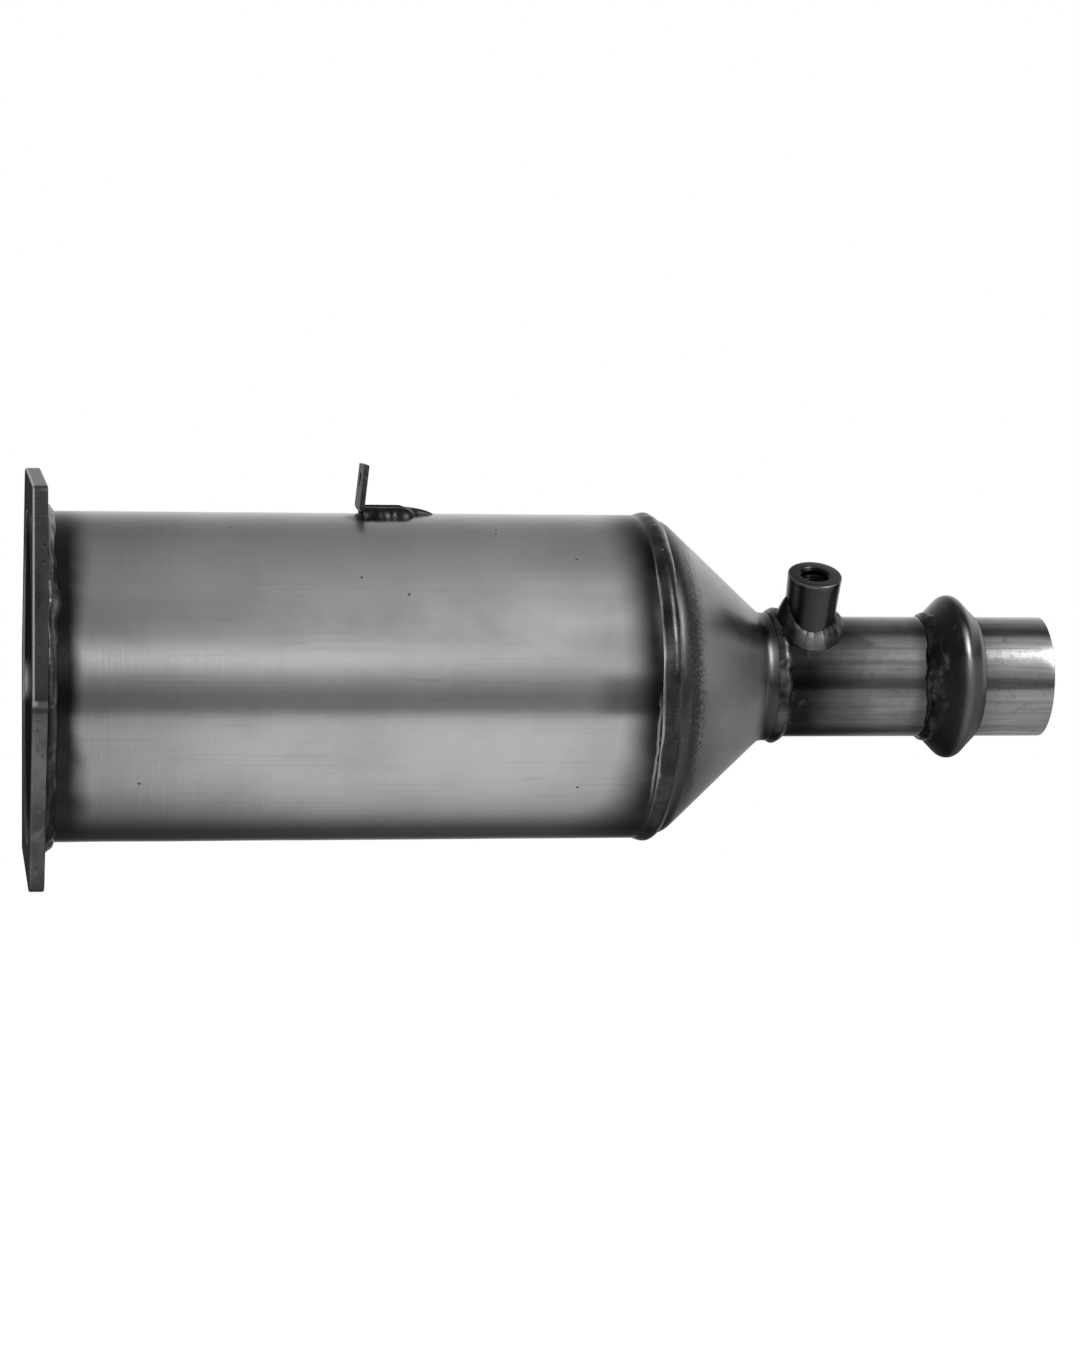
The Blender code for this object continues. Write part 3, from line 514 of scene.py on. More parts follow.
angle, across = turn_once(1600), np.linspace(0, 1, 18)
swell = 1 + 0.06 * unrest(angle, 1.5 * across, 7, 40, 3) + 0.012 * crescents(angle, across, 170, 2.2, 5)
swell = swell + 0.05 * np.sin(9 * across + 2 * unrest(angle, 0, 2, 12, 6)) * np.sin(pi * across)
lump = 0.22 * np.exp(-((angle - FLANGE_WELD_LUMP) / 0.09) ** 2)
along = FLANGE_WELD_LEG * (0.84 * swell + 0.08 * unrest(angle, 0, 9, 40, 11) + lump)
up = FLANGE_WELD_LEG * 0.93 * swell
corner, seat = FLANGE_THICKNESS + FLANGE_WELD_GAP, CAN_RADIUS + FLANGE_WELD_GAP
flange_weld = bead("flange_fillet", angle, fillet(across, along, up, corner, seat, 1.3), (corner, seat))
weld_paint, spot, out, shade, rough, height = bead_paint("weld_metal", 0.060, 0.20, 55, 0.35, 0.05, 0.24)
# Next to the flange's back the bead is painted darker: painted shade in the corner.
shade = times(shade, between(apart(spot)["X"], 0.0074, 0.0100, 0.25, 1.0))
finish(out, shade, rough, height, 0.00007)
fitted(flange_weld, weld_paint, "flange_weld")


# Can: thin stainless sheet rolled to a tube, satin from the rolls, with a fine grain round it. It is
# blued near black beside both end welds and under the bracket, and carries smudges, spatter and scratches.
# Painted shade darkens its inlet half, its underside and two bands by the outlet's weld, and painted
# highlights lie along that weld's toe and inside the mouth.
CAN_START = 0.0012
CAN_END = 0.2860
CAN_WALL = 0.0012
CAN_EASE = 0.0003
CAN_WANDER = 0.00005
STAIN_PLACE = (0.1520, -0.0200, 0.0733)


def turned(name, path, steps, wander=0.0):
    """A body of revolution: a closed (station, radius) path, led once round the gas axis."""
    return solid(name, *skin(round_axis(path[:, 0], path[:, 1] + wander, turn_once(steps))))


def centred(clouds):
    """Noise that swings about 0 in place of 0.5."""
    return maths("SUBTRACT", clouds, 0.5)


def distance(first, second):
    """How far a point lies from an axis, by its distances in two directions: sqrt(first ^ 2 + second ^ 2)."""
    return maths("SQRT", maths("ADD", times(first, first), times(second, second)))


def tube_wall(start, end, inner, outer):
    """The four corners of a tube's wall as stations and radii."""
    return np.array(((start, outer), (start, inner), (end, inner), (end, outer)))


# Heat tint: how near a point is to a weld that lies at one station, with a ragged edge.
heat, ins, spot, close = effect("heat_tint", {"Station": 0.0, "Dark": 0.005, "Reach": 0.02, "Ragged": 0.004}, "Mask")
away = maths("ABSOLUTE", maths("SUBTRACT", apart(spot)["X"], ins["Station"]))
away = maths("ADD", away, times(centred(noise(spot, 45, 3.0, 0.5)), ins["Ragged"]))
close(between(away, ins["Dark"], ins["Reach"], 1.0, 0.0))

# Rolled grain: long fine lines round the tube, from noise that is squeezed along it.
grain, ins, spot, close = effect("rolled_grain", {"Lines": 2600.0, "Length": 40.0}, "Height")
pull = add("ShaderNodeCombineXYZ", {0: ins["Lines"], 1: ins["Length"], 2: ins["Length"]}).outputs[0]
drawn = add("ShaderNodeVectorMath", {0: spot, 1: pull}, operation="MULTIPLY").outputs[0]
close(add("ShaderNodeTexNoise", {"Vector": drawn, "Scale": 1.0, "Detail": 3.0, "Roughness": 0.6}).outputs[0])

path = finer(eased(tube_wall(CAN_START, CAN_END, CAN_RADIUS - CAN_WALL, CAN_RADIUS), (CAN_EASE,) * 4, 3),
             0.008)
can = turned("can_shell", path, 360, CAN_WANDER * unrest(turn_once(360), 60 * path[:, 0], 2, 9, 21, 6))
paint, out, spot = blank("can_stainless")
x, y, z = apart(spot)
above = maths("ABSOLUTE", z)
clouds = noise(spot, 22, 4.0, 0.55)
mottle = noise(spot, 110, shift=0.3)
lines = placed(spot, grain, Lines=2600.0, Length=45.0)
hairlines = noise(spot, 900, 2.0, 0.5, stretch=(0.012, 1.0, 1.0), shift=0.1)
spatter = placed(spot, specks, Scale=90.0, Size=0.075, Share=0.32)
smudge = between(noise(spot, 45, 3.0, 0.5, shift=0.9), 0.50, 0.80)
scratch = between(noise(spot, 240, 2.0, 0.4, stretch=(0.10, 1.0, 1.0), shift=0.2), 0.70, 0.76)
shade = blend(between(clouds, 0.3, 0.7), 0.39, 0.45)
# Painted shade: the inlet's half is darker, most of all low down, and the outlet's half a little lighter.
shade = times(shade, between(x, -0.03, 0.14, 0.60, 1.0), between(x, 0.13, 0.28, 1.0, 1.06),
              between(z, -0.070, -0.040, between(x, 0.02, 0.17, 0.50, 1.0), 1.0))
shade = blend(times(centred(lines), 0.5), shade, 0.60)
shade = times(shade, between(hairlines, 0.52, 0.72, 1.0, 0.94))
shade = layered(shade, (times(smudge, 0.08), 0.20), (times(scratch, 0.15), 0.20))
# Near the outlet's weld the sheet is painted darker in two bands, one at the height of the gas axis and one
# above it: painted shade. A painted highlight lies along the weld's toe.
upper = band(z, 0.002, 0.016, 0.030, 0.042)
lower = band(z, -0.019, -0.015, -0.004, 0.004)
shade = times(shade, between(x, 0.228, 0.262, 1.0, blend(upper, 0.94, 0.72)),
              between(x, 0.247, 0.262, 1.0, blend(lower, 1.0, 0.60)))
inlet_heat = placed(spot, heat, Station=0.0120, Dark=0.0042, Ragged=0.006,
                    Reach=between(above, 0.020, 0.060, 0.0118, 0.0178))
# The outlet's heat tint widens at the bottom, where the widening is painted shade.
spread = maths("ADD", between(z, -0.074, -0.050, 0.020, 0.0), between(above, 0.015, 0.050, 0.0205, 0.0262))
outlet_heat_and_shade = placed(spot, heat, Station=CAN_END - 0.0025, Dark=0.0030, Ragged=0.006, Reach=spread)
off_toe = maths("MULTIPLY_ADD", centred(mottle), 0.0030, maths("SUBTRACT", x, CAN_END - 0.0048))
can_toe_highlight = times(between(maths("ABSOLUTE", off_toe), 0.0003, 0.0008, 1.0, 0.0),
               between(z, -0.014, -0.006, 0.8, 0.0), between(z, -0.060, -0.044, 0.1, 1.0))
from_foot = add("ShaderNodeVectorMath", {0: spot, 1: STAIN_PLACE}, operation="DISTANCE").outputs["Value"]
stain = between(from_foot, 0.003, 0.011, 1.0, 0.0)
shade = layered(shade, (maths("MAXIMUM", inlet_heat, outlet_heat_and_shade), blend(mottle, 0.010, 0.030)), (can_toe_highlight, 0.24),
                (maths("MAXIMUM", spatter, stain), 0.035))
# The inner wall is black with soot, but for a painted highlight at the mouth.
sooty = between(distance(y, z), CAN_RADIUS - 0.0009, CAN_RADIUS - 0.0003, 1.0, 0.0)
mouth_highlight = times(band(z, -0.013, -0.003, -0.002, 0.010), between(x, 0.0020, 0.0032, 0.9, 0.25), between(y, 0.05, 0.06))
shade = blend(sooty, shade, blend(mouth_highlight, 0.025, 0.60))
rough = blend(sooty, between(mottle, 0.35, 0.65, 0.212, 0.226), 0.7)
height = maths("ADD", times(lines, 0.35), spatter)
finish(out, shade, rough, height, 0.00004)
fitted(can, paint, "filter_can")


# Can seam: the machine weld that closes the rolled sheet lengthwise, ground nearly flat, at the back.
SEAM_START, SEAM_END = 0.0196, 0.2760
SEAM_FACING = radians(-32.0)
SEAM_HALF_WIDTH = 0.0022
SEAM_HEIGHT = 0.0007
SEAM_GAP = 0.00002
SEAM_SINK = 0.0001
along = np.linspace(0, 1, 900)[:, None]
across = np.linspace(-1, 1, 9)
ends = np.sqrt(np.clip(1 - (2 * along - 1) ** 60, 0, 1))
ripple = 0.85 + 0.15 * np.abs(np.cos(150 * pi * along - 0.9 * across ** 2))
height = SEAM_GAP + SEAM_HEIGHT * np.clip(1 - across ** 2, 0, 1) ** 0.7 * ripple * ends
station = SEAM_START + (SEAM_END - SEAM_START) * along + 0 * across
facing = SEAM_FACING + across * SEAM_HALF_WIDTH / CAN_RADIUS * (0.9 + 0.1 * ends)
top = round_axis(station, CAN_RADIUS + height, facing)
low = round_axis(station[:, ::8], CAN_RADIUS - SEAM_SINK, facing[:, ::8])
seam = solid("can_seam", *skin(np.concatenate((top, low[:, ::-1]), axis=1), rows_close=False, capped=True))
fitted(seam, weld_paint, "can_seam_weld")


# Clip bracket: a strip bent to an L, its foot welded along the can and its upright, with one hole,
# leaning a little to the outlet. Dark rolled steel with sheared edges.
BRACKET_STATION = 0.1510
BRACKET_TILT = radians(6.0)
BRACKET_SHEET = 0.0024
BRACKET_HALF_WIDTH = 0.0100
BRACKET_FOOT_LENGTH = 0.0210
BRACKET_HEIGHT = 0.0227
BRACKET_LEAN = radians(6.0)
BRACKET_BEND_RADIUS = 0.0012
BRACKET_GAP = 0.0003
BRACKET_HOLE_RADIUS = 0.0033
BRACKET_HOLE_DROP = 0.0070
BRACKET_EDGE = 0.0008


def on_can(across, up):
    """Y and Z of a place on top of the can, this far across and up from its surface, with the bracket's tilt."""
    up = up + CAN_RADIUS
    return across * cos(BRACKET_TILT) - up * sin(BRACKET_TILT), across * sin(BRACKET_TILT) + up * cos(BRACKET_TILT)


head = (BRACKET_STATION + BRACKET_HEIGHT * sin(BRACKET_LEAN), BRACKET_GAP + BRACKET_HEIGHT * cos(BRACKET_LEAN))
corners = np.array((head, (BRACKET_STATION, BRACKET_GAP), (BRACKET_STATION + BRACKET_FOOT_LENGTH, BRACKET_GAP)))
outer = finer(eased(corners, (0, BRACKET_BEND_RADIUS + BRACKET_SHEET, 0), 8), 0.003, closed=False)
inner = outer - sideways(outer, closed=False) * BRACKET_SHEET
strip = np.concatenate((outer, inner[::-1]))
width = np.array((-1.0, 1.0))[:, None] * BRACKET_HALF_WIDTH
grid = np.stack(np.broadcast_arrays(strip[:, 0], *on_can(width, strip[:, 1])), axis=2)
bracket = solid("bent_strip", *skin(grid, rows_close=False, capped=True))
down = BRACKET_HEIGHT - BRACKET_HOLE_DROP
middle = (BRACKET_STATION + down * sin(BRACKET_LEAN), *on_can(0.0, BRACKET_GAP + down * cos(BRACKET_LEAN)))
# The punch runs past both faces of the strip.
punch_path = ((-0.006, 0), (-0.006, BRACKET_HOLE_RADIUS), (0.008, BRACKET_HOLE_RADIUS), (0.008, 0))
drilled(bracket, spool("punch", punch_path, 48, middle))
rounding = bracket.modifiers.new("sheared_edges", "BEVEL")
rounding.width, rounding.segments = BRACKET_EDGE, 3
rounding.limit_method, rounding.angle_limit = "ANGLE", radians(50)
paint, out, spot = blank("strip_steel")
clouds = noise(spot, 260)
worn = between(noise(spot, 520, 4.0, shift=0.5), 0.52, 0.70)
shade = blend(worn, blend(clouds, 0.025, 0.065), 0.10)
finish(out, shade, blend(clouds, 0.45, 0.65), clouds, 0.0001)
fitted(bracket, paint, "clip_bracket")


# Bracket weld: a short bead down both sides of the foot and round its end, where the torch was drawn
# off in a tail along the can.
BRACKET_WELD_LEG = 0.0048
BRACKET_WELD_TAIL = 0.0095
BRACKET_WELD_RISE = 0.0011
BRACKET_WELD_BEND = 0.0015
BRACKET_WELD_GAP = 0.00003


def height_at(across):
    """The height of the can's skin against its topmost line, this far across: sqrt(R ^ 2 - across ^ 2) - R."""
    return np.sqrt(CAN_RADIUS ** 2 - across ** 2) - CAN_RADIUS


heel, toe = BRACKET_STATION + BRACKET_SHEET, BRACKET_STATION + BRACKET_FOOT_LENGTH
corners = np.array(((heel, -1), (toe, -1), (toe, 1), (heel, 1))) * (1, BRACKET_HALF_WIDTH)
route = finer(eased(corners, (0, BRACKET_WELD_BEND, BRACKET_WELD_BEND, 0), 12), 0.00022, closed=False)
out_way = sideways(route, closed=False)
share = np.linspace(0, 1, len(route))[:, None]
across = np.linspace(0, 1, 13)
bulge = 1 + 0.10 * unrest(2 * pi * share, across, 3, 16, 8, 8) + 0.03 * crescents(2 * pi * share, across, 18, 1.0, 9)
tail = BRACKET_WELD_TAIL * np.exp(-((share - 0.44) / 0.045) ** 2) * np.maximum(0, out_way[:, :1]) ** 2
reach = (BRACKET_WELD_LEG * bulge + tail) * np.cos(pi / 2 * across) ** 1.25
flat_x = route[:, :1] + out_way[:, :1] * reach
flat_y = route[:, 1:] + out_way[:, 1:] * reach
ground = height_at(flat_y) + BRACKET_WELD_GAP
rise = np.sin(pi / 2 * across) ** 1.25 * (0.93 + 0.07 * bulge)
up = ground + (BRACKET_SHEET + BRACKET_WELD_RISE - ground) * rise
top = np.stack((flat_x, *on_can(flat_y, up)), axis=2)
root = np.stack((route[:, :1], *on_can(route[:, 1:], height_at(route[:, 1:]))), axis=2)
bracket_weld = solid("bracket_bead", *skin(np.concatenate((top, root), axis=1), rows_close=False, capped=True))
dark_weld, _, *parts = bead_paint("scaled_weld", 0.014, 0.032, 120, 0.6, 0.02, 0.30)
finish(*parts, 0.00010)
fitted(bracket_weld, dark_weld, "bracket_weld")


# Support mat: a felt of ceramic fibres, pressed between can and block. A knitted wire ring closes it
# at each end and keeps the gas off the fibres.
BLOCK_START, BLOCK_END = 0.0200, 0.2740
BLOCK_RADIUS = 0.0719
MAT_GAP = 0.0003
SEAL_LENGTH = 0.0044
SEAL_WIRES, SEAL_WINDINGS = 8, 135
WIRE_RADIUS = 0.00017
COIL_ALONG, COIL_UP = 0.00185, 0.00095
CORE_ALONG, CORE_UP, CORE_CORNER = 0.0017, 0.00085, 0.0006


def joined(meshes):
    """One mesh of several, each of them its points and its faces."""
    points, faces = meshes[0]
    for more_points, more_faces in meshes[1:]:
        faces = faces + [[corner + len(points) for corner in face] for face in more_faces]
        points = np.concatenate((points, more_points))
    return points, faces


mat_inner, mat_outer = BLOCK_RADIUS + MAT_GAP, CAN_RADIUS - CAN_WALL - MAT_GAP
seal_radius = (mat_inner + mat_outer) / 2
wall = tube_wall(BLOCK_START + SEAL_LENGTH / 2, BLOCK_END - SEAL_LENGTH / 2, mat_inner, mat_outer)
mat = turned("fibre_mat", finer(wall, 0.012), 180)
paint, out, spot = blank("mat_felt")
fibres = noise(spot, 1800, 4.0, 0.7, stretch=(1.0, 0.25, 0.25))
shade = blend(fibres, 0.30, 0.68)
finish(out, shade, blend(fibres, 0.85, 1.0), fibres, 0.0004, metallic=0.0)
fitted(mat, paint, "support_mat")

wire_paint, out, spot = blank("knitted_wire")
clouds = noise(spot, 300, 4.0)
finish(out, blend(clouds, 0.16, 0.42), blend(clouds, 0.26, 0.40), clouds, 0.00004)
core_corners = np.array(((-1, -1), (-1, 1), (1, 1), (1, -1))) * (CORE_ALONG, CORE_UP)
run, rim = turn_once(1080), turn_once(4).T
for label, middle in (("inlet", BLOCK_START - MAT_GAP), ("outlet", BLOCK_END + MAT_GAP)):
    core = eased(core_corners, (CORE_CORNER,) * 4, 4) + (middle, seal_radius)
    meshes = [skin(round_axis(core[:, 0], core[:, 1], turn_once(120)))]
    for wire in range(SEAL_WIRES):
        # The wire winds round the ring's core as a coil; every second one winds the other way.
        winding = (SEAL_WINDINGS if wire % 2 else -SEAL_WINDINGS) * run + 2 * pi * wire / SEAL_WIRES
        station = middle + COIL_ALONG * np.cos(winding) + WIRE_RADIUS * np.cos(rim)
        radius = seal_radius + COIL_UP * np.sin(winding) + WIRE_RADIUS * np.sin(rim)
        meshes.append(skin(round_axis(station, radius, run)))
    seal = solid(f"{label}_wire_ring", *joined(meshes), sharp=80.0)
    fitted(seal, wire_paint, f"{label}_mesh_seal")


# Filter block: sixteen square bars of porous silicon carbide, bonded by cement and ground to a cylinder.
# Each bar is a honeycomb of small channels, every second one plugged at either end.
BAR_ROWS = 4
BAR_PITCH = 0.0370
BAR_WIDTH = 0.0360
BLOCK_TRIM = 0.0710
CELL_PITCH = 0.0018
CELL_WIDTH = 0.00145
CELL_DEPTH = 0.0080
CELL_MARGIN = 0.0003


def bar_outline(centre):
    """The bar's square round its centre, cut by the block's circle: its corners and the circle's points that lie
    in the other shape, and where the two cross, in the order of their direction from their middle."""
    low, high = centre - BAR_WIDTH / 2, centre + BAR_WIDTH / 2
    square = np.array([(x, y) for x in (low[0], high[0]) for y in (low[1], high[1])])
    square = square[np.hypot(*square.T) <= BLOCK_TRIM]
    bow = np.arange(0, 2 * pi, radians(2.5))
    circle = BLOCK_TRIM * np.stack((np.cos(bow), np.sin(bow)), axis=1)
    cuts = [np.zeros((0, 2))]
    for axis in (0, 1):
        for level in (low[axis], high[axis]):
            if abs(level) < BLOCK_TRIM:
                rest = np.sqrt(BLOCK_TRIM ** 2 - level ** 2)
                cuts.append(np.array([(level, rest), (level, -rest)])[:, ::1 if axis == 0 else -1])
    cuts = np.concatenate(cuts)
    circle, cuts = (p[np.all((p >= low - 1e-9) & (p <= high + 1e-9), axis=1)] for p in (circle, cuts))
    points = np.concatenate((square, circle, cuts))
    middle = points.mean(axis=0)
    points = points[np.argsort(np.arctan2(*(points - middle).T[::-1]))]
    return points[np.linalg.norm(points - np.roll(points, 1, axis=0), axis=1) > 2e-5]


def honeycomb_end(outline, centre, station, depth, odd):
    """One end of a bar: a flat face with square holes, and under each hole four walls and a floor. A cell is
    open when the sum of its row and column is even, or odd for the other end, and it lies in the outline."""
    cells = round(BAR_WIDTH / CELL_PITCH)
    corner = centre - BAR_WIDTH / 2
    row, column = np.indices((cells, cells))
    middles = corner + (np.stack((row, column), axis=2) + 0.5) * CELL_PITCH
    far = np.linalg.norm(np.abs(middles) + CELL_WIDTH / 2 + CELL_MARGIN, axis=2)
    open_cells = ((row + column) % 2 == odd) & (far < BLOCK_TRIM)
    square = np.array(((-1, -1), (1, -1), (1, 1), (-1, 1))) * CELL_WIDTH / 2
    holes = (middles[open_cells][:, None] + square).reshape(-1, 2)
    rim, count = len(outline), open_cells.sum()
    loop, first = np.arange(rim), np.arange(count)[:, None] * 4
    sides, nexts = first + (0, 1, 2, 3), first + (1, 2, 3, 0)
    limits = np.concatenate((np.stack((loop, (loop + 1) % rim), axis=1),
                             np.stack((sides.ravel(), nexts.ravel()), axis=1) + rim))
    flat = np.concatenate((outline, holes))
    flat, _, triangles, *_ = delaunay_2d_cdt(flat.tolist(), limits.tolist(), [], 0, 1e-7)
    flat, triangles = np.array(flat), np.array(triangles)
    inside = (flat[triangles].mean(axis=1) - corner) / CELL_PITCH
    index = np.floor(inside).astype(int)
    in_hole = np.all(np.abs(inside - index - 0.5) < CELL_WIDTH / CELL_PITCH / 2, axis=1) & open_cells[tuple(index.T)]
    triangles = triangles[~in_hole]
    points = (at_station(station, flat), at_station(station, holes), at_station(station + depth, holes))
    sides, nexts = sides + len(flat), nexts + len(flat)
    walls = np.stack((sides, nexts, nexts + 4 * count, sides + 4 * count), axis=2).reshape(-1, 4)
    floors = sides + 4 * count
    return np.concatenate(points), triangles.tolist() + walls.tolist() + floors.tolist()


paint, out, spot = blank("silicon_carbide")
clouds = noise(spot, 60, 4.0, 0.55)
pores = noise(spot, 5200, 3.0, 0.7)
shade = times(blend(clouds, 0.09, 0.17), blend(pores, 0.7, 1.25))
finish(out, shade, blend(pores, 0.78, 0.98), pores, 0.00012, metallic=0.0)
for row in range(BAR_ROWS):
    for column in range(BAR_ROWS):
        centre = (np.array((column, row)) - (BAR_ROWS - 1) / 2) * BAR_PITCH
        outline = bar_outline(centre)
        near_end = honeycomb_end(outline, centre, BLOCK_START, CELL_DEPTH, 0)
        far_end = honeycomb_end(outline, centre, BLOCK_END, -CELL_DEPTH, 1)
        side = skin(np.stack([at_station(end, outline) for end in (BLOCK_START, BLOCK_END)]), rows_close=False)
        bar = solid(f"honeycomb_bar_{row + 1}_{column + 1}", *joined((near_end, far_end, side)), merge=1e-7)
        fitted(bar, paint, f"filter_segment_{row + 1}_{column + 1}")

paint, out, spot = blank("bonding_cement")
clouds = noise(spot, 240)
sand = noise(spot, 3000, 3.0, 0.7)
finish(out, blend(clouds, 0.22, 0.36), blend(sand, 0.85, 1.0), sand, 0.0002, metallic=0.0)
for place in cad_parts["filter_cement"].material_slots:
    place.material = paint


# Outlet cone: stainless sheet spun to a cone with a rounded shoulder and a short collar. Its skirt slips
# into the can and its collar takes the pipe. Satin grey, with a dark speckled band beside the can's weld.
CONE_START, CONE_SHOULDER, CONE_NECK, COLLAR_END = 0.2815, 0.2938, 0.3421, 0.3470
CONE_MOUTH_RADIUS, COLLAR_RADIUS = 0.0745, 0.0303
CONE_WALL = 0.0015
CONE_BENDS = (0.0120, 0.0060)
CONE_WANDER = 0.00006
corners = ((CONE_START, CONE_MOUTH_RADIUS), (CONE_SHOULDER, CONE_MOUTH_RADIUS), (CONE_NECK, COLLAR_RADIUS),
           (COLLAR_END, COLLAR_RADIUS))
outer = finer(eased(corners, (0, *CONE_BENDS, 0), 12), 0.003, closed=False)
inner = outer + sideways(outer, closed=False) * CONE_WALL
wall = np.concatenate((outer, inner[::-1]))
cone = turned("spun_cone", wall, 360, CONE_WANDER * unrest(turn_once(360), 90 * wall[:, 0], 2, 11, 33, 6))
paint, out, spot = blank("tinted_cone")
x, _, z = apart(spot)
clouds = noise(spot, 55)
mottle = noise(spot, 190, 5.0, 0.65, shift=0.6)
lines = placed(spot, grain, Lines=1500.0, Length=25.0)
can_heat = placed(spot, heat, Station=CAN_END + 0.0060, Dark=0.0040, Reach=0.0170, Ragged=0.004)
neck_heat = placed(spot, heat, Station=COLLAR_END + 0.0010, Dark=0.0045, Reach=0.0130, Ragged=0.004)
shade = blend(between(clouds, 0.32, 0.68), 0.29, 0.34)
# Low down the cone is painted darker by its shoulder and lighter towards the neck: painted shade and light.
shade = times(shade, between(z, -0.045, 0.012, between(x, 0.302, 0.324, 0.80, 1.5), 1.0))
shade = blend(times(centred(lines), 0.6), shade, 0.4)
speck = maths("MULTIPLY_ADD", centred(noise(spot, 650, 3.0)), 1.5, can_heat)
speckled = times(between(speck, 0.15, 0.95), between(can_heat, 0.0, 0.25))
# A painted highlight lies on the collar's flare, brightest a little above the gas axis.
flare_highlight = band(x, 0.3405, 0.3420, 0.3440, 0.3462)
lit = band(z, -0.012, 0.008, 0.012, 0.021)
shade = layered(shade, (maths("MAXIMUM", speckled, neck_heat), 0.055), (flare_highlight, blend(lit, 0.05, 0.095)))
finish(out, shade, blend(mottle, 0.24, 0.38), maths("ADD", lines, mottle), 0.00004)
fitted(cone, paint, "outlet_cone")


# Cone weld: one narrow machine bead that closes the can's end onto the cone's shoulder.
CONE_WELD_BACK, CONE_WELD_AHEAD = 0.0036, 0.0057
CONE_WELD_HEIGHT = 0.0021
CONE_WELD_GAP = 0.00004
WELD_CLEARANCE = 0.0002
step = CAN_END + WELD_CLEARANCE
angle, across = turn_once(1600), np.linspace(0, 1, 15)
drift = 0.0004 * unrest(angle, 0, 3, 17, 41, 6)
station = CAN_END - CONE_WELD_BACK + (CONE_WELD_BACK + CONE_WELD_AHEAD) * across + drift
base = np.where(station < step, CAN_RADIUS, CONE_MOUTH_RADIUS) + CONE_WELD_GAP
swell = 1 + 0.06 * unrest(angle, across, 9, 60, 43) + 0.012 * crescents(angle, across, 255, 2.6, 44)
dome = np.sin(pi * across ** 1.30) ** 0.85
line = CAN_RADIUS + (CONE_MOUTH_RADIUS - CAN_RADIUS) * across
radius = np.maximum(line + CONE_WELD_HEIGHT * dome * swell, base)
# Underneath, the bead lies on the cone, on the can, and on the step between them.
under_station = np.array((CAN_END + CONE_WELD_AHEAD, step, step, CAN_END - CONE_WELD_BACK)) + drift * (1, 0, 0, 1)
under_radius = np.array((CONE_MOUTH_RADIUS, CONE_MOUTH_RADIUS, CAN_RADIUS, CAN_RADIUS)) + CONE_WELD_GAP / 2
cone_weld = bead("cone_bead", angle, (station, radius), (under_station, under_radius))
closing_paint, spot, out, shade, rough, height = bead_paint("closing_bead", 0.030, 0.065, 60, 0.3, 0.02, 0.20)
x, _, z = apart(spot)
# Light lines along the bead's toes are painted highlights: on the can's side they fade towards the top and the
# bottom, and on the cone's side they are strong in the upper half.
toe = maths("ABSOLUTE", maths("SUBTRACT", x, CAN_END + (CONE_WELD_AHEAD - CONE_WELD_BACK) / 2))
toe = maths("MULTIPLY_ADD", noise(spot, 70, 3.0, 0.5, shift=0.6), 0.0030, toe)
can_side = times(between(z, -0.062, -0.030, 0.10, 0.75), between(z, 0.042, 0.060, 1.0, 0.1))
seen = blend(between(x, CAN_END, CAN_END + 0.003), can_side, between(z, -0.006, 0.014, 0.2, 0.8))
toe = times(between(toe, 0.0048, 0.0058), seen)
finish(out, blend(toe, shade, 0.42), rough, height, 0.00004)
fitted(cone_weld, closing_paint, "cone_weld")


# Outlet pipe: drawn stainless tube, cut square with its edges rounded. Darkened near the welds, and
# bright and clean on the stub past the clamp ring. The sensor's gas hole is drilled under the boss.
PIPE_START, PIPE_END = 0.3410, 0.4810
PIPE_RADIUS, PIPE_WALL, PIPE_EASE = 0.0285, 0.0015, 0.0004
BOSS_STATION = 0.3645
BOSS_LEAN = radians(30.0)
BOSS_BORE_RADIUS = 0.0062
RING_STATION = 0.4355
wall = tube_wall(PIPE_START, PIPE_END, PIPE_RADIUS - PIPE_WALL, PIPE_RADIUS)
pipe = turned("drawn_tube", finer(eased(wall, (PIPE_EASE,) * 4, 4), 0.006), 240)
# The drill runs from the pipe's inside out through its upper wall.
gas_drill_path = ((0.012, 0), (0.012, BOSS_BORE_RADIUS), (0.06, BOSS_BORE_RADIUS), (0.06, 0))
drilled(pipe, spool("gas_drill", gas_drill_path, 64, (BOSS_STATION, 0.0, 0.0), BOSS_LEAN))
paint, out, spot = blank("drawn_stainless")
x, _, z = apart(spot)
clouds = noise(spot, 60)
mottle = noise(spot, 230, 5.0, 0.65, shift=0.6)
strokes = noise(spot, 900, 3.0, stretch=(0.06, 1.0, 1.0))
streaks = noise(spot, 520, 3.0, stretch=(0.035, 1.0, 1.0), shift=0.8)
stray = maths("MULTIPLY_ADD", centred(clouds), 0.016, x)
ring_heat = placed(spot, heat, Station=RING_STATION - 0.0155, Dark=0.0015, Reach=0.0100, Ragged=0.006)
on_stub = between(x, 0.430, 0.438)
shade = maths("ADD", between(stray, 0.360, 0.384, 0.012, 0.095), between(stray, 0.378, 0.398, 0.0, 0.085))
shade = layered(shade, (times(ring_heat, 0.75), 0.05), (on_stub, between(x, 0.438, 0.464, 0.12, 0.24)))
shade = times(shade, between(streaks, 0.35, 0.65, 0.82, 1.14))
# A stripe along the front up to the ring is painted darker, a painted shade over the lamp's highlight,
# and it is broader towards the bush.
reach = between(x, 0.380, 0.400, 0.020, 0.0125)
shaded_stripe = times(between(z, 0.004, 0.007), between(maths("SUBTRACT", z, reach), 0.0, 0.003, 1.0, 0.0),
                    between(x, 0.428, 0.436, 0.45, 0.0))
shade = layered(shade, (between(mottle, 0.54, 0.70, 0.0, 0.45), 0.075), (shaded_stripe, 0.02))
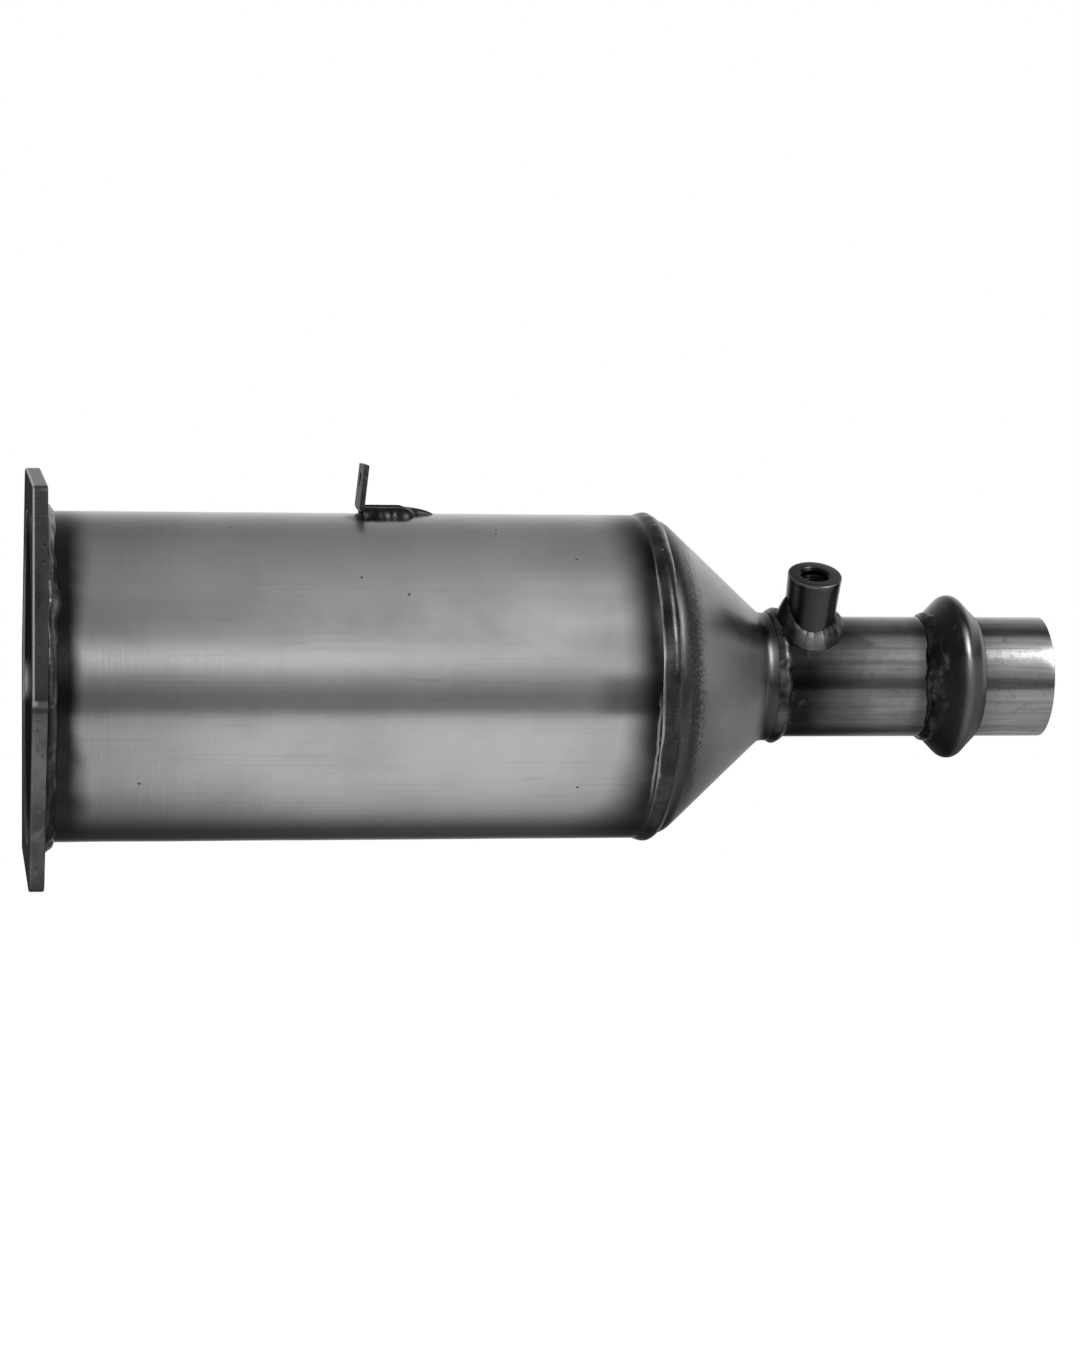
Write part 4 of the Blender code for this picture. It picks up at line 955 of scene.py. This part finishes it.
# The underside is painted lighter, most of all on the stub: painted light.
shade = times(shade, between(z, -0.0280, -0.0180, between(x, 0.43, 0.44, 1.7, 3.0), 1.0))
rough = blend(on_stub, blend(mottle, 0.15, 0.23), blend(mottle, 0.11, 0.16))
finish(out, shade, rough, maths("ADD", strokes, mottle), 0.00003)
fitted(pipe, paint, "outlet_pipe")


# Sensor boss: a bush turned from bar, its foot cut to the pipe's round, bored and tapped right through
# for the sensor. Dark from the heat, with its turned top edge rubbed and painted brighter as a highlight,
# and with painted shade in the bore and on its inlet side.
BOSS_TOP = 0.0552
BOSS_TOP_RADIUS, BOSS_FOOT_RADIUS = 0.0127, 0.0118
BOSS_EDGE, BOSS_COUNTERSINK = 0.0007, 0.0013
THREAD_PITCH, THREAD_DEPTH = 0.0015, 0.0008
BOSS_SEAT = 0.0001


def on_boss(across, side, up):
    """Points in the boss's own place: across is along the gas axis, side is square to it, and up is the
    distance from the gas axis along the boss's leaning axis."""
    across, side, up = np.broadcast_arrays(across, side, up)
    return np.stack((BOSS_STATION + across, side * cos(BOSS_LEAN) - up * sin(BOSS_LEAN),
                     side * sin(BOSS_LEAN) + up * cos(BOSS_LEAN)), axis=-1)


def saddle(radius, angle):
    """How far up the pipe's skin lies under a point of the boss: the root of R^2 - (radius * sin(angle))^2."""
    return np.sqrt((PIPE_RADIUS + BOSS_SEAT) ** 2 - (radius * np.sin(angle)) ** 2)


angle = turn_once(180)
drop = np.linspace(0, 1, 130)
foot = saddle(BOSS_BORE_RADIUS, angle)
bore_top = BOSS_TOP - BOSS_COUNTERSINK
bore_up = bore_top - (bore_top - foot) * drop
turns = bore_up / THREAD_PITCH - angle / (2 * pi)
ridge = np.abs(2 * (turns - np.floor(turns)) - 1) * np.clip(8 * drop, 0, 1) * np.clip(8 * (1 - drop), 0, 1)
bore = BOSS_BORE_RADIUS + THREAD_DEPTH * ridge
lip = eased(((BOSS_FOOT_RADIUS, PIPE_RADIUS), (BOSS_TOP_RADIUS, BOSS_TOP),
             (BOSS_BORE_RADIUS + BOSS_COUNTERSINK, BOSS_TOP), (BOSS_BORE_RADIUS, bore_top)),
            (0, BOSS_EDGE, 0.0002, 0), 4)[1:]
low = saddle(BOSS_FOOT_RADIUS, angle)
side_share = np.linspace(0, 1, 12)[:-1]
side_up = low + (lip[0, 1] - low) * side_share
side_radius = BOSS_FOOT_RADIUS + (lip[0, 0] - BOSS_FOOT_RADIUS) * side_share + 0 * angle
radius = np.hstack((side_radius, lip[:-1, 0] + 0 * angle, bore))
up = np.hstack((side_up, lip[:-1, 1] + 0 * angle, bore_up))
boss = solid("threaded_bush", *skin(on_boss(radius * np.cos(angle), radius * np.sin(angle), up)))
paint, out, spot = blank("turned_black_steel")
x, y, z = apart(spot)
clouds = noise(spot, 240, 4.0)
worn = between(noise(spot, 420, shift=0.3), 0.55, 0.72)
shade = blend(times(worn, 0.25), blend(clouds, 0.035, 0.060), 0.12)
# The bore is painted darker, a painted shade, and the top's outer edge is brighter, rubbed and with a painted
# highlight: both go by the distance from the boss's axis. The inlet side is painted darker and the outlet
# side lighter: painted shade and light.
side = maths("MULTIPLY_ADD", z, sin(BOSS_LEAN), times(y, cos(BOSS_LEAN)))
across = maths("SUBTRACT", x, BOSS_STATION)
from_axis = distance(across, side)
up = maths("MULTIPLY_ADD", z, cos(BOSS_LEAN), times(y, -sin(BOSS_LEAN)))
shade = times(shade, between(across, -0.0090, 0.0050, 0.45, 1.20), between(from_axis, 0.0070, 0.0074, 0.2, 1.0))
edge = times(between(from_axis, 0.0116, 0.0122), between(up, BOSS_TOP - 0.0014, BOSS_TOP - 0.0006))
finish(out, blend(edge, shade, 0.12), blend(clouds, 0.22, 0.34), clouds, 0.00004)
fitted(boss, paint, "sensor_boss")


# Boss weld: laid by hand along the saddle where boss and pipe meet, fuller on the outlet's side and
# heaped towards the cone. Dull grey, painted darker but for two lumps: painted shade and light.
BOSS_WELD_LEG = 0.0040
BOSS_WELD_GAP = 0.00003
angle, across = turn_once(420), np.linspace(0, 1, 16)
swell = 0.92 + 0.21 * (1 + np.cos(angle)) + 0.45 * np.exp(-((angle - pi) / 0.7) ** 2)
swell = swell + 0.06 * unrest(angle, across, 3, 9, 52) + 0.05 * crescents(angle, across, 22, 0.8, 53)
leg = BOSS_WELD_LEG * swell
reach = BOSS_FOOT_RADIUS + BOSS_SEAT + leg * np.cos(pi / 2 * across) ** 1.2
ground = saddle(reach, angle) + BOSS_WELD_GAP
# Towards the cone the bead is heaped up the bush's side, where it runs into the neck weld.
heap = 1 + 1.6 * np.exp(-((angle - pi) / 0.75) ** 2)
up = ground + leg * heap * np.sin(pi / 2 * across) ** (1.2 * heap)
inner_reach = BOSS_FOOT_RADIUS + BOSS_SEAT + 0 * angle
reach = np.hstack((reach, inner_reach))
up = np.hstack((up, saddle(inner_reach, angle)))
reach[:, -2] += 0.035 * (up[:, -2] - PIPE_RADIUS).clip(0)
boss_weld = solid("boss_bead", *skin(on_boss(reach * np.cos(angle), reach * np.sin(angle), up)))
blob_weld, spot, out, shade, rough, height = bead_paint("blobbed_weld", 0.06, 0.16, 90, 0.25, 0.0, 0.36)
# The bead is painted darker but for two lumps, one in front and one on the outlet's side: painted shade,
# with painted light on the lumps.
off = maths("SUBTRACT", apart(spot)["X"], BOSS_STATION)
front = band(off, -0.0100, -0.0060, 0.0030, 0.0070)
bare = maths("MAXIMUM", front, between(off, 0.0110, 0.0125, 0.0, 0.6))
finish(out, times(shade, blend(bare, 0.22, 1.0)), rough, height, 0.00004)
fitted(boss_weld, blob_weld, "boss_weld")


# Neck weld: the bead between the cone's collar and the pipe. It gives way where the boss stands.
NECK_WELD_LENGTH, NECK_WELD_HEIGHT = 0.0068, 0.0024
NECK_WELD_GAP = 0.00004
neck_start = COLLAR_END + WELD_CLEARANCE
angle, across = turn_once(900), np.linspace(0, 1, 16)
swell = 1 + 0.13 * unrest(angle, across, 5, 30, 61) + 0.05 * crescents(angle, across, 30, 1.4, 62)
boss_side = pi / 2 + BOSS_LEAN
# It is heaped on top, where it meets the bush's own weld.
swell = swell * (1 + 0.9 * np.exp(-((angle - 1.85) / 0.42) ** 2))
from_boss = PIPE_RADIUS * np.sin(angle - boss_side)
facing_boss = np.cos(angle - boss_side) > 0
clear = np.sqrt(np.clip((BOSS_FOOT_RADIUS + 0.0004) ** 2 - from_boss ** 2, 0, None))
length = NECK_WELD_LENGTH * (1 + 0.08 * unrest(angle, 0, 5, 40, 63))
length = np.where(facing_boss, np.minimum(length, BOSS_STATION - clear - neck_start), length)
station = neck_start + length * (1 - across)
hump = np.where(across < 0.55, np.sin(pi / 2 * across / 0.55) ** 0.9, 1 - 0.30 * ((across - 0.55) / 0.45) ** 2)
radius = PIPE_RADIUS + NECK_WELD_GAP + NECK_WELD_HEIGHT * hump * swell
neck_weld = bead("neck_bead", angle, (station, radius), (neck_start, PIPE_RADIUS + NECK_WELD_GAP / 2))
neck_paint, _, *parts = bead_paint("tinted_bead", 0.022, 0.085, 90, 0.4, 0.0, 0.22)
finish(*parts, 0.00006)
fitted(neck_weld, neck_paint, "neck_weld")


# Clamp ring: an olive turned from bar, with two straight flanks and a round crest, which the pipe clamp
# draws up against. Blackened, with its outlet flank painted paler, most of all low down, and a painted
# highlight on its crest.
RING_HALF_WIDTH, RING_LAND, RING_CREST = 0.01195, 0.0005, 0.0056
RING_WANDER = 0.00003
RING_GAP = 0.0002
foot = PIPE_RADIUS + RING_GAP
land = foot + RING_LAND
corners = np.array(((-RING_HALF_WIDTH, foot), (-RING_HALF_WIDTH, land), (0, land + RING_HALF_WIDTH),
                    (RING_HALF_WIDTH, land), (RING_HALF_WIDTH, foot))) + (RING_STATION, 0)
path = finer(eased(corners, (0, 0.0002, RING_CREST, 0.0002, 0), 16), 0.0012)
ring = turned("clamp_olive", path, 300, RING_WANDER * unrest(turn_once(300), 200 * path[:, 0], 2, 9, 71, 6))
paint, out, spot = blank("olive_steel")
x, _, z = apart(spot)
off = maths("SUBTRACT", x, RING_STATION)
clouds = noise(spot, 90)
lines = placed(spot, grain, Lines=3200.0, Length=20.0)
worn = between(noise(spot, 300, shift=0.3), 0.58, 0.74)
shade = blend(times(worn, 0.6), blend(clouds, 0.018, 0.036), 0.10)
# The outlet flank is painted paler, most of all low down, and a short painted highlight lies on the crest. The foot
# is brushed like the stub and painted lighter in its upper half, and painted shade darkens the land's edge.
flank = between(off, -0.0022, 0.0013)
brushed = between(off, 0.0081, 0.0101)
crest_highlight = times(band(off, -0.0017, -0.0003, 0.0030, 0.0050), band(z, 0.0095, 0.0130, 0.020, 0.026))
shade = layered(shade, (flank, between(z, 0.004, 0.014, 0.13, 0.065)), (crest_highlight, 0.13),
                (brushed, between(z, -0.012, 0.004, 0.10, 0.28)), (between(off, 0.0115, 0.0118), 0.02))
rough = layered(blend(clouds, 0.18, 0.30), (brushed, 0.60), (between(z, 0.004, 0.012, 1.0, 0.0), 0.50))
finish(out, shade, rough, maths("ADD", lines, clouds), 0.00004)
fitted(ring, paint, "clamp_ring")


# Ring weld: a rough bead in the corner between the pipe and the ring's inner flank.
RING_WELD_LEG = 0.0038
angle, across = turn_once(900), np.linspace(0, 1, 16)
corner = RING_STATION - RING_HALF_WIDTH
swell = 1 + 0.15 * unrest(angle, 1.5 * across, 4, 24, 81) + 0.02 * crescents(angle, across, 50, 1.4, 82)
swell = swell + 0.10 * np.sin(13 * across + 3 * unrest(angle, 0, 2, 12, 83)) * np.sin(pi * across)
swell = swell * (0.60 + np.where(np.cos(angle) < 0, 0.72, 0.32) * np.cos(angle) ** 2)
station, radius = fillet(across, -RING_WELD_LEG * swell, 0.95 * RING_WELD_LEG * swell, corner, foot, 1.15)
# Going up, the bead leans on the ring's flank.
station = station + 0.98 * across * (radius - foot)
ring_weld = bead("ring_bead", angle, (station, radius), (corner - 0.0001, foot))
ring_paint, _, *parts = bead_paint("rough_bead", 0.014, 0.045, 110, 0.5, 0.02, 0.22)
finish(*parts, 0.00009)
fitted(ring_weld, ring_paint, "ring_weld")
